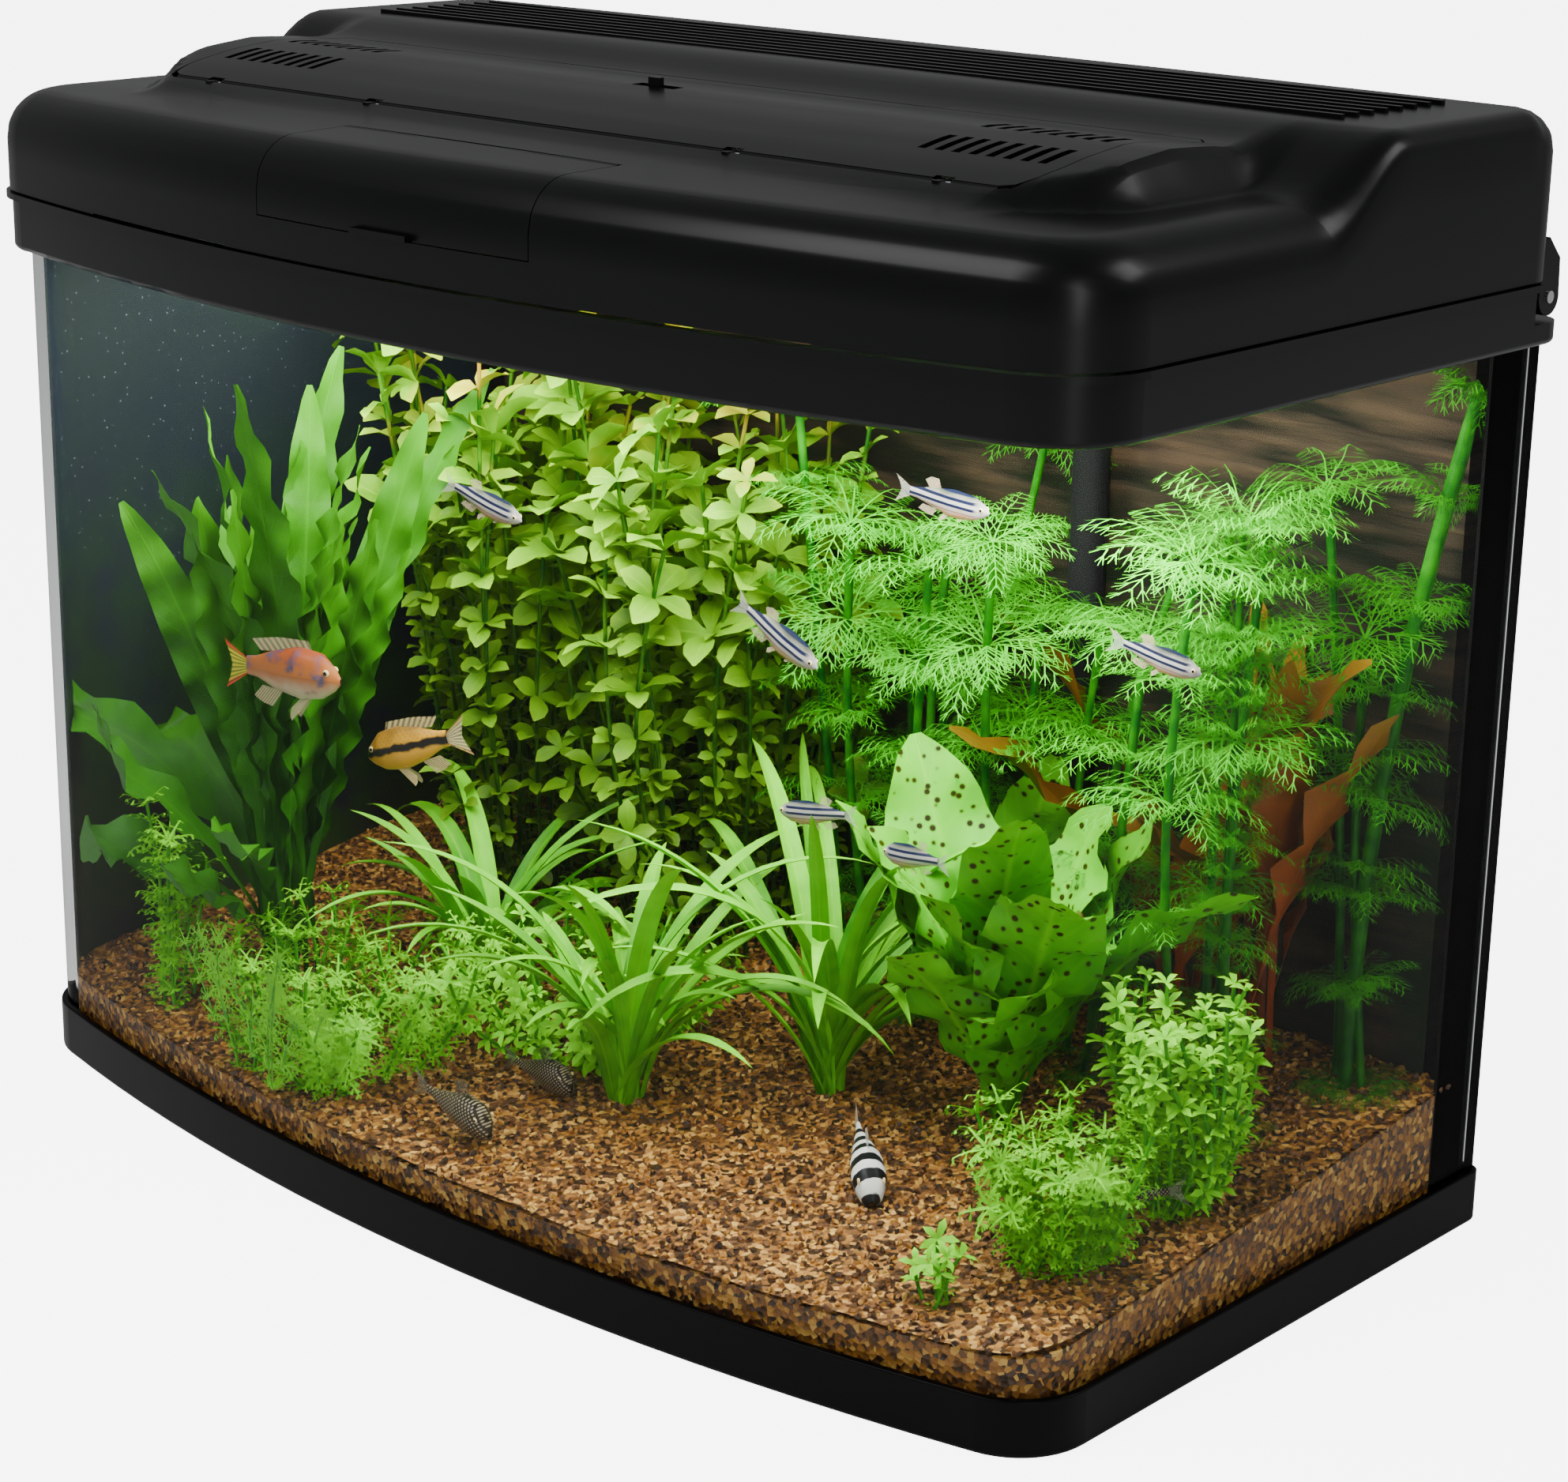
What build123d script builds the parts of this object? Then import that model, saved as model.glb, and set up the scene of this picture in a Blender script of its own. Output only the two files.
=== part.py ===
from build123d import *
import math
import os

# Bow-front aquarium with a moulded hood. Millimetres, +Z up, +X along the length, the bowed front faces -Y.
# Origin: centre of the footprint, on the underside of the base trim.

# Glass tank
half_length = 300.0
bow_y = -168.2
rear_y = 168.2
bow_sagitta = 37.0
corner_radius = 31.0
glass = 5.0
base_thick = 6.0
glass_top = 388.0
seal_gap = 0.5

# Base trim
trim_height = 24.0
trim_floor = 4.0
trim_grow = 3.0
trim_fit = 0.2
trim_ledge = 20.0

# Hood frame
collar_grow = 7.4
collar_wall = 3.0
collar_low = 382.0
collar_top = 404.8
bead_grow = 10.0
bead_top = 407.6
ledge_thick = 3.0
ledge_reach = 12.0

# Lid
lid_grow = 8.4
lid_low = 408.4
lid_wall = 3.0
lid_rear = 165.0
lid_rear_radius = 18.0
deck_z = 455.0
ridge_z = 476.0
roll_radius = 20.0
ridge_foot = 10.0
ridge_front = 48.0
ridge_back = 136.0
bulge_half = 266.0
bulge_front = -105.0
bulge_top = 470.6

# Lid hinge, flap and light cover
hinge_y = 167.0
hinge_z = 400.0
hinge_pin_r = 2.5
pin_clearance = 0.05
lug_x = 291.0
lug_width = 12.0
lug_radius = 7.5
flap_half = 77.0
flap_rear = -127.5
flap_pin_z = 453.5
flap_low = 424.0
cover_half = 236.0
cover_front = -91.6
cover_pin_z = 458.2
cover_rear = 14.0
edge_round = 1.5
small_pin_r = 0.9
hook_x = (-204.0, -101.5, 101.5, 204.0)
part_gap = 0.5

# Vents, ribs, catch and finger slots
vent_first = 172.0
vent_pitch = 8.0
vent_width = 4.0
vent_count = 8
vent_rows = ((-66.0, -47.0), (-30.0, -14.0))
rib_first = 62.0
rib_pitch = 10.0
rib_count = 8
rib_half = 270.0
slit = (12.0, -31.0, -24.0)
finger_slot = (101.0, 203.0)
lip_half = 16.0
lip_reach = 3.4

# Lamps and control gear
lamp_y = (-58.0, 4.0)
lamp_radius = 9.5
lamp_half = 215.0
lamp_z = 435.5
holder_length = 16.0
housing_half = 250.0
housing_front = -88.0
housing_back = 34.0
housing_low = 424.0
housing_top = 452.0
housing_wall = 2.5
guard_thick = 3.0
gear_box = (-140.0, -20.0, 62.0, 110.0, 440.0)
gland_x = -230.0
gland_z = 432.0
lead_r = 3.0

# Filter: a tray on the frame's rear shelf
tray_x = (-212.0, 118.0)
tray_y = (99.0, 153.0)
tray_height = 34.0
tray_wall = 2.5
intake = (104.0, 139.0)
outlet = (-196.0, 122.0)
intake_r = 9.0
outlet_r = 7.0
strainer_low = 118.0
strainer_top = 150.0

# Gravel and the furnishing's ground line
gravel_front_z = 33.0
gravel_slope = 0.10
gravel_base = 14.2

bow_radius = (half_length ** 2 + bow_sagitta ** 2) / (2 * bow_sagitta)
bow_centre_y = bow_y + bow_radius
corner_x = half_length - corner_radius
corner_y = bow_centre_y - math.sqrt((bow_radius - corner_radius) ** 2 - corner_x ** 2)
bow_turn = math.atan2(corner_x, bow_centre_y - corner_y)

parts = {}


def keep(name, shape):
    parts[name] = shape


def outline(grow, back, back_radius=0.0):
    """Plan of the tank, pushed outwards by grow, with its rear edge at y = back."""
    side = half_length + grow
    reach = bow_radius + grow
    round_r = corner_radius + grow
    end = (reach * math.sin(bow_turn), bow_centre_y - reach * math.cos(bow_turn))
    mid_turn = (bow_turn + math.pi / 2) / 2
    mid = (corner_x + round_r * math.sin(mid_turn), corner_y - round_r * math.cos(mid_turn))
    edges = [ThreePointArc((-end[0], end[1]), (0, bow_centre_y - reach), end)]
    edges.append(ThreePointArc(end, mid, (side, corner_y)))
    edges.append(Line((side, corner_y), (side, back - back_radius)))
    if back_radius:
        inset = back_radius * (1 - math.sqrt(0.5))
        edges.append(ThreePointArc((side, back - back_radius), (side - inset, back - inset),
                                   (side - back_radius, back)))
    edges.append(Line((side - back_radius, back), (back_radius - side, back)))
    if back_radius:
        edges.append(ThreePointArc((back_radius - side, back), (inset - side, back - inset),
                                   (-side, back - back_radius)))
    edges.append(Line((-side, back - back_radius), (-side, corner_y)))
    edges.append(ThreePointArc((-side, corner_y), (-mid[0], mid[1]), (-end[0], end[1])))
    return make_face(edges)


def prism(face, low, high):
    return extrude(Pos(0, 0, low) * face, amount=high - low, dir=(0, 0, 1))


def block(x0, x1, y0, y1, z0, z1):
    return Pos((x0 + x1) / 2, (y0 + y1) / 2, (z0 + z1) / 2) * Box(x1 - x0, y1 - y0, z1 - z0)


def bar_x(x0, x1, y, z, radius):
    return Pos((x0 + x1) / 2, y, z) * Rot(0, 90, 0) * Cylinder(radius, x1 - x0)


def post(x, y, z0, z1, radius):
    return Pos(x, y, (z0 + z1) / 2) * Cylinder(radius, z1 - z0)


def along_x(points, half):
    """Solid between x = -half and x = half whose section is the closed YZ outline."""
    wire = Plane.YZ * Polyline(*points, close=True)
    return extrude(Pos(-half, 0, 0) * make_face(wire), amount=2 * half, dir=(1, 0, 0))


def ground(y):
    return gravel_front_z + gravel_slope * (y - bow_y)


# --- glass tank ---

def build_tank():
    shell = prism(outline(0, rear_y), trim_floor, glass_top)
    keep("bent_glass_panel", shell - prism(outline(-glass, rear_y + 40), 0, glass_top + 10))
    pane = half_length - glass - seal_gap
    keep("rear_glass", block(-pane, pane, rear_y - glass, rear_y, trim_floor, glass_top))
    floor_top = trim_floor + base_thick
    keep("base_glass", prism(outline(-glass - seal_gap, rear_y - glass - seal_gap), trim_floor, floor_top))
    bead_inner = prism(outline(-glass - 4, rear_y - glass - 4), floor_top - 1, floor_top + 9)
    keep("base_seal", prism(outline(-glass, rear_y - glass), floor_top, floor_top + 4) - bead_inner)
    for side, name in ((-1, "corner_seal_left"), (1, "corner_seal_right")):
        inner = half_length - glass
        points = [(inner, rear_y - glass), (inner, 141.0), (inner - 1.5, 141.0), (inner - 6.0, 157.0),
                  (inner - 12.0, rear_y - glass - 1.5), (inner - 12.0, rear_y - glass)]
        strip = make_face(Polyline(*[(side * x, y) for x, y in points], close=True))
        keep(name, prism(strip, gravel_base + 0.2, glass_top - 2))
    trim = prism(outline(trim_grow, rear_y + trim_grow, 6.0), 0, trim_height)
    trim = fillet(trim.edges().group_by(Axis.Z)[0], 2.2)
    trim = fillet(trim.edges().group_by(Axis.Z)[-1], 0.8)
    trim -= prism(outline(trim_fit, rear_y + trim_fit), trim_floor, trim_height + 1)
    trim -= prism(outline(-trim_ledge, rear_y - trim_ledge), -1, trim_height + 1)
    keep("base_trim", trim)


def end_sheet(near, far, reach, back, low, high):
    """A thin sheet along the left glass that follows the bend of the front corner."""
    ring = prism(outline(-near, back), low, high) - prism(outline(-far, back + 1), low - 1, high + 1)
    return ring & block(-half_length, reach, -half_length, back + 1, low, high)


def build_backing():
    low = gravel_base + 0.2
    keep("rear_background", block(-282, 282, 151, 161, low, glass_top - 4))
    keep("end_backing", end_sheet(glass + 0.2, glass + 1.4, -283, 140, low + 20, glass_top - 4))


def build_gravel():
    bed = prism(outline(-glass - 0.4, 150.6), gravel_base, 90)
    back_z = ground(150.6)
    top = [(-200, ground(-200)), (150.6, back_z), (200, back_z), (200, 0), (-200, 0)]
    bed &= along_x(top, half_length)
    bed -= end_sheet(glass, glass + 1.8, -282.4, 145, gravel_base + 15, 100)
    for x in (-half_length + glass + 6, half_length - glass - 6):
        bed -= block(x - 6.5, x + 6.5, 140.5, 152, gravel_base - 1, 100)
    keep("gravel_bed", bed)
    return bed


# --- plants and fish, each a plain closed solid ---

plants = {
    "tall_sword_plant": (-196, -72, 34, 300),
    "milfoil_stem": (-222, -118, 12, 105),
    "leafy_stems_left": (-178, 76, 56, 285),
    "leafy_stems_middle": (-62, 82, 54, 270),
    "feathery_stems_left": (44, 96, 44, 275),
    "feathery_stems_middle": (138, 80, 40, 262),
    "feathery_stem_front": (238, 58, 34, 262),
    "thick_feathery_stem": (262, 122, 20, 300),
    "red_leaf_plant": (200, 124, 14, 190),
    "spotted_sword_plant": (172, 2, 40, 178),
    "ribbon_plant_left": (22, -66, 30, 118),
    "ribbon_plant_right": (88, -8, 30, 135),
    "fine_leaf_bush_left": (-112, -118, 32, 62),
    "fine_leaf_bush_middle": (-34, -36, 24, 55),
    "fine_leaf_bush_front": (252, -60, 26, 62),
    "fine_leaf_bush_right": (262, 2, 14, 95),
    "low_ribbon_plant": (-106, -28, 30, 95),
    "small_sprout": (238, -116, 9, 26),
}


def build_plants(bed):
    for name, (x, y, radius, height) in plants.items():
        low = ground(y - radius) - 4
        high = ground(y) + height
        foot = Pos(x, y, low) * Circle(radius * 0.35)
        waist = Pos(x, y, low + (high - low) * 0.55) * Circle(radius)
        head = Pos(x, y, high) * Circle(radius * 0.6)
        keep(name, loft([foot, waist, head], ruled=True) - bed)


def fish_solid(length, depth, x, y, z, heading, pitch):
    """A spindle; heading turns the head from +X about Z, pitch lifts the head."""
    half = length / 2
    rim = [(-half, 0), (-half * 0.4, depth * 0.34), (half * 0.15, depth / 2), (half * 0.6, depth * 0.4), (half, 0)]
    spindle = revolve(make_face(Polyline(*rim, close=True)), Axis.X)
    return Pos(x, y, z) * Rot(0, 0, heading) * Rot(0, -pitch, 0) * spindle


shoals = {
    "striped_danios": [(46, 12, -74, -58, 290, 6, -14), (46, 12, 166, -40, 328, 2, -4),
                       (48, 13, 88, -48, 261, 4, -26), (42, 11, 262, -30, 283, 2, -8),
                       (38, 11, 104, -38, 186, 190, -6), (32, 11, 168, -52, 186, 184, -2)],
    "dwarf_cichlids": [(64, 26, -152, -106, 208, 12, 2), (56, 22, -120, -56, 170, 196, -18)],
    "spotted_catfish": [(50, 18, -14, -134, 51.5, 358, -8), (40, 16, -14, -84, 52, 4, -4),
                        (40, 15, 262, -24, 63, 208, -10)],
    "striped_pleco": [(62, 20, 150, -58, 56, 318, -10)],
    "red_fish": [(26, 9, 226, -24, 166, 182, 0)],
}


def build_fish():
    for name, rows in shoals.items():
        keep(name, Compound(children=[fish_solid(*row) for row in rows]))


# --- hood frame ---

def build_frame():
    rear = rear_y + collar_grow
    ring = prism(outline(collar_grow, rear, 14.0), collar_low, collar_top)
    ring = fillet(ring.edges().group_by(Axis.Z)[0], 2.5)
    ring += prism(outline(bead_grow, rear, 14.0), collar_top, bead_top)
    inner = collar_grow - collar_wall
    ring -= prism(outline(inner, rear - collar_wall, 10.0), collar_low - 1, glass_top)
    ring -= prism(outline(inner, rear - collar_wall, 10.0), glass_top + ledge_thick, bead_top + 1)
    ring -= prism(outline(-ledge_reach, rear_y - ledge_reach), glass_top - 1, glass_top + ledge_thick + 1)
    ring += block(-215, 120, 96, rear_y - ledge_reach + 1, glass_top, glass_top + ledge_thick)
    ring -= post(*intake, glass_top - 1, glass_top + 9, intake_r + 0.3)
    ring -= post(*outlet, glass_top - 1, glass_top + 9, outlet_r + 0.3)
    for side in (-1, 1):
        x0, x1 = sorted((side * (lug_x - 0.6), side * (half_length + 20)))
        ring -= block(x0, x1, 150, rear + 5, glass_top + ledge_thick, bead_top + 1)
        e0, e1 = sorted((side * (lug_x - 10.6), side * (lug_x - 0.6)))
        ear = block(e0, e1, hinge_y - 6, hinge_y + 5, glass_top + ledge_thick, hinge_z)
        ear += bar_x(e0, e1, hinge_y, hinge_z, 5.5)
        ring += ear
        ring -= bar_x(e0 - 1, e1 + 1, hinge_y, hinge_z, hinge_pin_r)
    ring -= block(-half_length, half_length, rear - 4, rear + 2, bead_top - 5.6, bead_top + 1)
    keep("hood_frame", ring)
    pins = []
    for side in (-1, 1):
        e0, e1 = sorted((side * (lug_x - 10), side * (lug_x + lug_width + 0.8)))
        pins.append(bar_x(e0, e1, hinge_y, hinge_z, hinge_pin_r))
    keep("lid_hinge_pins", Compound(children=pins))


# --- lid, with the flap and the light cover cut from the same form ---

def lid_form(inset):
    """The lid's solid outer form, moved inwards by inset."""
    plan = outline(lid_grow - inset, lid_rear - inset, lid_rear_radius - inset)
    top = deck_z - inset
    slab = prism(plan, lid_low, top)
    slab = fillet(slab.edges().group_by(Axis.Z)[-1], roll_radius - inset)
    ridge_top = ridge_z - inset
    section = [(ridge_foot + inset, lid_low), (ridge_foot + inset, top - roll_radius),
               (ridge_foot + inset, top), (30 + inset, deck_z + 14 - inset), (ridge_front + inset, ridge_top),
               (ridge_back, ridge_top), (ridge_back + 9, ridge_top - 5), (ridge_back + 14, ridge_top - 16),
               (lid_rear - inset - 1, lid_low + 12), (lid_rear - inset - 1, lid_low)]
    ridge = prism(plan, lid_low, ridge_top) & along_x(section, half_length + 30)
    crest = bulge_top - inset
    bulge = [(bulge_front + inset, deck_z - 12), (bulge_front + inset, top), (-93, 459.6 - inset),
             (-77, 463.4 - inset), (-53, 468 - inset), (-28, crest), (-4, 469 - inset), (24, 466 - inset),
             (30, deck_z - 12)]
    return slab + ridge + along_x(bulge, bulge_half - inset)


def build_lid():
    shell = lid_form(0) - lid_form(lid_wall)
    flap_zone = block(-flap_half, flap_half, -200, flap_rear, flap_low, 480)
    flap_hole = block(-flap_half - part_gap, flap_half + part_gap, -200, flap_rear + edge_round + part_gap,
                      flap_low - part_gap, 480)
    cover_zone = block(-cover_half, cover_half, cover_front, cover_rear, 451, 480)
    cover_hole = block(-cover_half - part_gap, cover_half + part_gap, cover_front - edge_round - part_gap,
                       cover_rear + part_gap, 450.5, 480)
    flap = (shell & flap_zone) + bar_x(-flap_half, flap_half, flap_rear, flap_pin_z, edge_round)
    cover = (shell & cover_zone) + bar_x(-cover_half, cover_half, cover_front, cover_pin_z, edge_round - 0.1)
    lid = shell - flap_hole - cover_hole
    lid = add_lugs(lid)
    for side in (-1, 1):
        x0, x1 = sorted((side * finger_slot[0], side * finger_slot[1]))
        lid -= block(x0, x1, -200, -130, lid_low - 1, lid_low + 3)
    lid, cover = add_cover_hinge(lid, cover)
    lid, flap = add_flap_hinge(lid, flap)
    for side in (-1, 1):
        for k in range(vent_count):
            x = side * (vent_first + vent_pitch * k)
            for y0, y1 in vent_rows:
                cover -= block(x - vent_width / 2, x + vent_width / 2, y0, y1, deck_z, 480)
    cover -= block(-slit[0], slit[0], slit[1], slit[2], deck_z, 480)
    for k in range(rib_count):
        y = rib_first + rib_pitch * k
        lid += block(-rib_half, rib_half, y - 1.2, y + 1.2, ridge_z - 1, ridge_z + 0.8)
    lid -= across_y(gland_x, lid_rear, gland_z, 6.4, 30)
    keep("hood_lid", lid)
    lip = block(-lip_half, lip_half, bow_y - lid_grow - lip_reach, bow_y - lid_grow + 2.6, flap_low, flap_low + 2.4)
    keep("feeding_flap", flap + lip)
    keep("light_cover", cover)
    knob = block(-3, 3, -30.2, -27.2, 464.5, 473.8)
    foot = block(-10, 10, -30.7, -26.7, 461.8, 464.5)
    keep("cover_catch", knob + foot)


def add_lugs(lid):
    """Rear lugs that turn on the hinge pins."""
    for side in (-1, 1):
        l0, l1 = sorted((side * lug_x, side * (lug_x + lug_width)))
        arm = [(hinge_y - 7.4, hinge_z), (hinge_y + 7.4, hinge_z), (hinge_y + 6.5, 415), (155, 426), (151, 426),
               (151, 412)]
        lid += bar_x(l0, l1, hinge_y, hinge_z, lug_radius)
        lid += Pos((l0 + l1) / 2, 0, 0) * along_x(arm, lug_width / 2)
        lid -= bar_x(l0 - 1, l1 + 1, hinge_y, hinge_z, hinge_pin_r + pin_clearance)
    return lid


def add_cover_hinge(lid, cover):
    """Four hooks on the lid hold the light cover's small pins."""
    pins = []
    for x in hook_x:
        notch = bar_x(x - 4.5, x + 4.5, cover_front, cover_pin_z, 3.0)
        lid -= notch
        cover -= notch
        hook = block(x - 1.5, x + 1.5, cover_front - 4.5, cover_front + 1.2, cover_pin_z - 1.4, cover_pin_z + 1.3)
        lid += hook
        lid -= bar_x(x - 2, x + 2, cover_front, cover_pin_z, small_pin_r + pin_clearance)
        pins.append(bar_x(x - 7.5, x + 7.5, cover_front, cover_pin_z, small_pin_r))
        cover -= pins[-1]
    keep("cover_hinge_pins", Compound(children=pins))
    return lid, cover


def add_flap_hinge(lid, flap):
    """A short pin at each end of the feeding flap."""
    pins = []
    for side in (-1, 1):
        x0, x1 = sorted((side * (flap_half - 4), side * (flap_half + 4)))
        pins.append(bar_x(x0, x1, flap_rear, flap_pin_z, small_pin_r))
        flap -= pins[-1]
        lid -= bar_x(x0, x1, flap_rear, flap_pin_z, small_pin_r + pin_clearance)
    keep("flap_hinge_pins", Compound(children=pins))
    return lid, flap


def across_y(x, y, z, radius, length):
    return Pos(x, y, z) * Rot(90, 0, 0) * Cylinder(radius, length)


def build_lamps():
    low, high = housing_low, housing_top
    front, back = housing_front, housing_back
    inner = housing_half - housing_wall
    walls = block(-housing_half, housing_half, front, back, low, high)
    walls -= block(-inner, inner, front + housing_wall, back - housing_wall, low - 1, high + 1)
    for side in (-1, 1):
        x0, x1 = sorted((side * inner, side * (inner - 6.5)))
        walls += block(x0, x1, front + housing_wall, back - housing_wall, low + 1.5, low + 4)
    keep("lamp_housing", walls)
    keep("splash_guard", block(-housing_half + 0.2, housing_half - 0.2, front, back, low - guard_thick, low))
    holders = []
    for y, name in zip(lamp_y, ("lamp_tube_front", "lamp_tube_rear")):
        keep(name, bar_x(-lamp_half, lamp_half, y, lamp_z, lamp_radius))
        for side in (-1, 1):
            x0, x1 = sorted((side * lamp_half, side * (lamp_half + holder_length)))
            holders.append(block(x0, x1, y - 12, y + 12, low + 4, lamp_z + 11))
    keep("lamp_holders", Compound(children=holders))
    sheet_z = lamp_z + lamp_radius + 2.5
    keep("reflector", block(-lamp_half, lamp_half, front + 4, back - 4, sheet_z, sheet_z + 1))
    keep("control_gear", block(*gear_box, ridge_z - lid_wall))
    gland = across_y(gland_x, lid_rear + 6, gland_z, 6.4, 18) + across_y(gland_x, lid_rear + 1.5, gland_z, 9, 3)
    keep("cable_gland", gland - across_y(gland_x, lid_rear + 6, gland_z, lead_r, 30))


def build_filter():
    floor = glass_top + ledge_thick
    x0, x1 = tray_x
    y0, y1 = tray_y
    tray = block(x0, x1, y0, y1, floor, floor + tray_height)
    tray -= block(x0 + tray_wall, x1 - tray_wall, y0 + tray_wall, y1 - tray_wall, floor + tray_wall, floor + 40)
    tray -= post(*intake, floor - 1, floor + 9, intake_r + 0.3)
    tray -= post(*outlet, floor - 1, floor + 9, outlet_r + 0.3)
    keep("filter_tray", tray)
    keep("filter_sponge", block(-180, 60, y0 + 3, y1 - 3, floor + tray_wall + 0.1, floor + 30))
    keep("filter_pump", block(66, 115, y0 + 3, y1 - 3, floor + 10, floor + 32))
    pipe = post(*intake, strainer_top, floor + 10, intake_r) - post(*intake, strainer_top - 1, floor + 8, 7)
    keep("intake_pipe", pipe)
    cage = post(*intake, strainer_low, strainer_top, 11) - post(*intake, strainer_low + 3, strainer_top + 1, 8.5)
    for k in range(3):
        cage -= Pos(*intake, (strainer_low + strainer_top) / 2) * Rot(0, 0, 60 * k) * Box(30, 3, 20)
    keep("intake_strainer", cage)
    keep("outlet_nozzle", post(*outlet, 372, floor + 12, outlet_r) - post(*outlet, 371, floor + 13, 5))


build_tank()
build_backing()
gravel = build_gravel()
build_plants(gravel)
build_fish()
build_frame()
build_lid()
build_lamps()
build_filter()

os.makedirs("parts", exist_ok=True)
for name, shape in parts.items():
    export_step(shape, "parts/" + name + ".step")
print(len(parts), "nodes")
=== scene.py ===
import bpy
import math
import numpy as np
from mathutils import Matrix, Vector


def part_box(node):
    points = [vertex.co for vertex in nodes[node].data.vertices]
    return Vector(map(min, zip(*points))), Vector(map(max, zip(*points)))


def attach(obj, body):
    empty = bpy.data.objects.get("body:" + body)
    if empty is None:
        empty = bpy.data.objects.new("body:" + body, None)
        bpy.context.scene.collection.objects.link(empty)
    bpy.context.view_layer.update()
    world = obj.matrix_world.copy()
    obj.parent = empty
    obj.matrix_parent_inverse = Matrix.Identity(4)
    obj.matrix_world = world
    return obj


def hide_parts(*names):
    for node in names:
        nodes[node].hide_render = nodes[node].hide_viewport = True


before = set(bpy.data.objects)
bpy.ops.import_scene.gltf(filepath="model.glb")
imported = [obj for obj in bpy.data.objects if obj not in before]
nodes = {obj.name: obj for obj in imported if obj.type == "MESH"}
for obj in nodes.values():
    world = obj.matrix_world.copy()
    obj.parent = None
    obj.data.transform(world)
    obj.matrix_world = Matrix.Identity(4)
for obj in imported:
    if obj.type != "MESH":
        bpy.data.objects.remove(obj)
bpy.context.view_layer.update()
tankLow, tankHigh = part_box("bent_glass_panel")
bedLow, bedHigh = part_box("gravel_bed")
print("frame loaded:", len(nodes), "nodes")


def linkObject(name, mesh):
    obj = bpy.data.objects.new(name, mesh)
    bpy.context.scene.collection.objects.link(obj)
    return obj


def newBag():
    return {"verts": [], "faces": [], "uvs": [], "tones": []}


def bagToMesh(name, bag, smooth=True):
    mesh = bpy.data.meshes.new(name)
    mesh.from_pydata([tuple(v) for v in bag["verts"]], [], bag["faces"])
    if bag["uvs"]:
        layer = mesh.uv_layers.new(name="UVMap")
        index = np.zeros(len(mesh.loops), dtype=np.int32)
        mesh.loops.foreach_get("vertex_index", index)
        layer.data.foreach_set("uv", np.array(bag["uvs"], dtype=np.float32)[index].ravel())
        tone = mesh.attributes.new("tone", "FLOAT", "POINT")
        tone.data.foreach_set("value", np.array(bag["tones"], dtype=np.float32))
    if smooth:
        mesh.polygons.foreach_set("use_smooth", [True] * len(mesh.polygons))
    mesh.update()
    return mesh


def addGrid(bag, points, uvs, tone):
    # points is a rows x columns array of places; one face for each cell
    rows, cols = len(points), len(points[0])
    start = len(bag["verts"])
    for r in range(rows):
        for c in range(cols):
            bag["verts"].append(points[r][c])
            bag["uvs"].append(uvs[r][c])
            bag["tones"].append(tone)
    for r in range(rows - 1):
        for c in range(cols - 1):
            a = start + r * cols + c
            bag["faces"].append((a, a + 1, a + cols + 1, a + cols))


def bendingSpine(base, azimuth, lift, bend, length, steps, curl=0.0):
    # Points from base that set off at the angle lift and droop by bend over the length
    point = np.array(base, dtype=float)
    spine = [point.copy()]
    step = length / steps
    for i in range(steps):
        t = (i + 0.5) / steps
        angle = lift - bend * t ** 1.4
        turn = azimuth + curl * t
        point = point + step * np.array([math.cos(angle) * math.cos(turn), math.cos(angle) * math.sin(turn),
                                         math.sin(angle)])
        spine.append(point.copy())
    return np.array(spine)


def addLeaf(bag, spine, width, columns=5, cup=0.25, ruffle=0.0, waves=5, phase=0.0, tone=0.5, roll=0.0):
    # A leaf along spine; width(t) is its half width
    rows = len(spine)
    tangent = np.gradient(spine, axis=0)
    tangent /= np.linalg.norm(tangent, axis=1)[:, None] + 1e-9
    flat = np.array([tangent[:, 1], -tangent[:, 0], np.zeros(rows)]).T
    size = np.linalg.norm(flat, axis=1)[:, None]
    mean = flat.mean(axis=0)
    mean = mean / (np.linalg.norm(mean) + 1e-9) if np.linalg.norm(mean) > 1e-6 else np.array([1.0, 0, 0])
    side = np.where(size > 0.15, flat / (size + 1e-9), mean)
    normal = np.cross(side, tangent)
    side = side * math.cos(roll) + normal * math.sin(roll)
    normal = np.cross(side, tangent)
    across = np.linspace(-1, 1, columns)
    points, uvs = [], []
    for i in range(rows):
        t = i / (rows - 1)
        half = width(t)
        row, uvRow = [], []
        for a in across:
            wave = ruffle * half * abs(a) * math.sin(2 * math.pi * waves * t + phase + (1.3 if a > 0 else 0))
            row.append(spine[i] + side[i] * half * a + normal[i] * (cup * half * a * a + wave))
            uvRow.append((0.5 + 0.5 * a, t))
        points.append(row)
        uvs.append(uvRow)
    addGrid(bag, points, uvs, tone)


def socket(tree, label, kind, way, value=None):
    item = tree.interface.new_socket(label, in_out=way, socket_type="NodeSocket" + kind)
    if value is not None:
        item.default_value = value
    return item


def feed(tree, entry, value):
    # Sets an input to a plain value, a colour, or the output of another node
    if isinstance(value, (int, float)):
        entry.default_value = value
    elif isinstance(value, tuple):
        entry.default_value = (*value, 1)
    else:
        tree.links.new(value, entry)


def calc(tree, kind, a, b=0.0, clamp=False):
    node = tree.nodes.new("ShaderNodeMath")
    node.operation = kind
    node.use_clamp = clamp
    feed(tree, node.inputs[0], a)
    feed(tree, node.inputs[1], b)
    return node.outputs[0]


def mixColour(tree, share, a, b):
    node = tree.nodes.new("ShaderNodeMix")
    node.data_type = "RGBA"
    for k, value in ((0, share), (6, a), (7, b)):
        feed(tree, node.inputs[k], value)
    return node.outputs[2]


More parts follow.
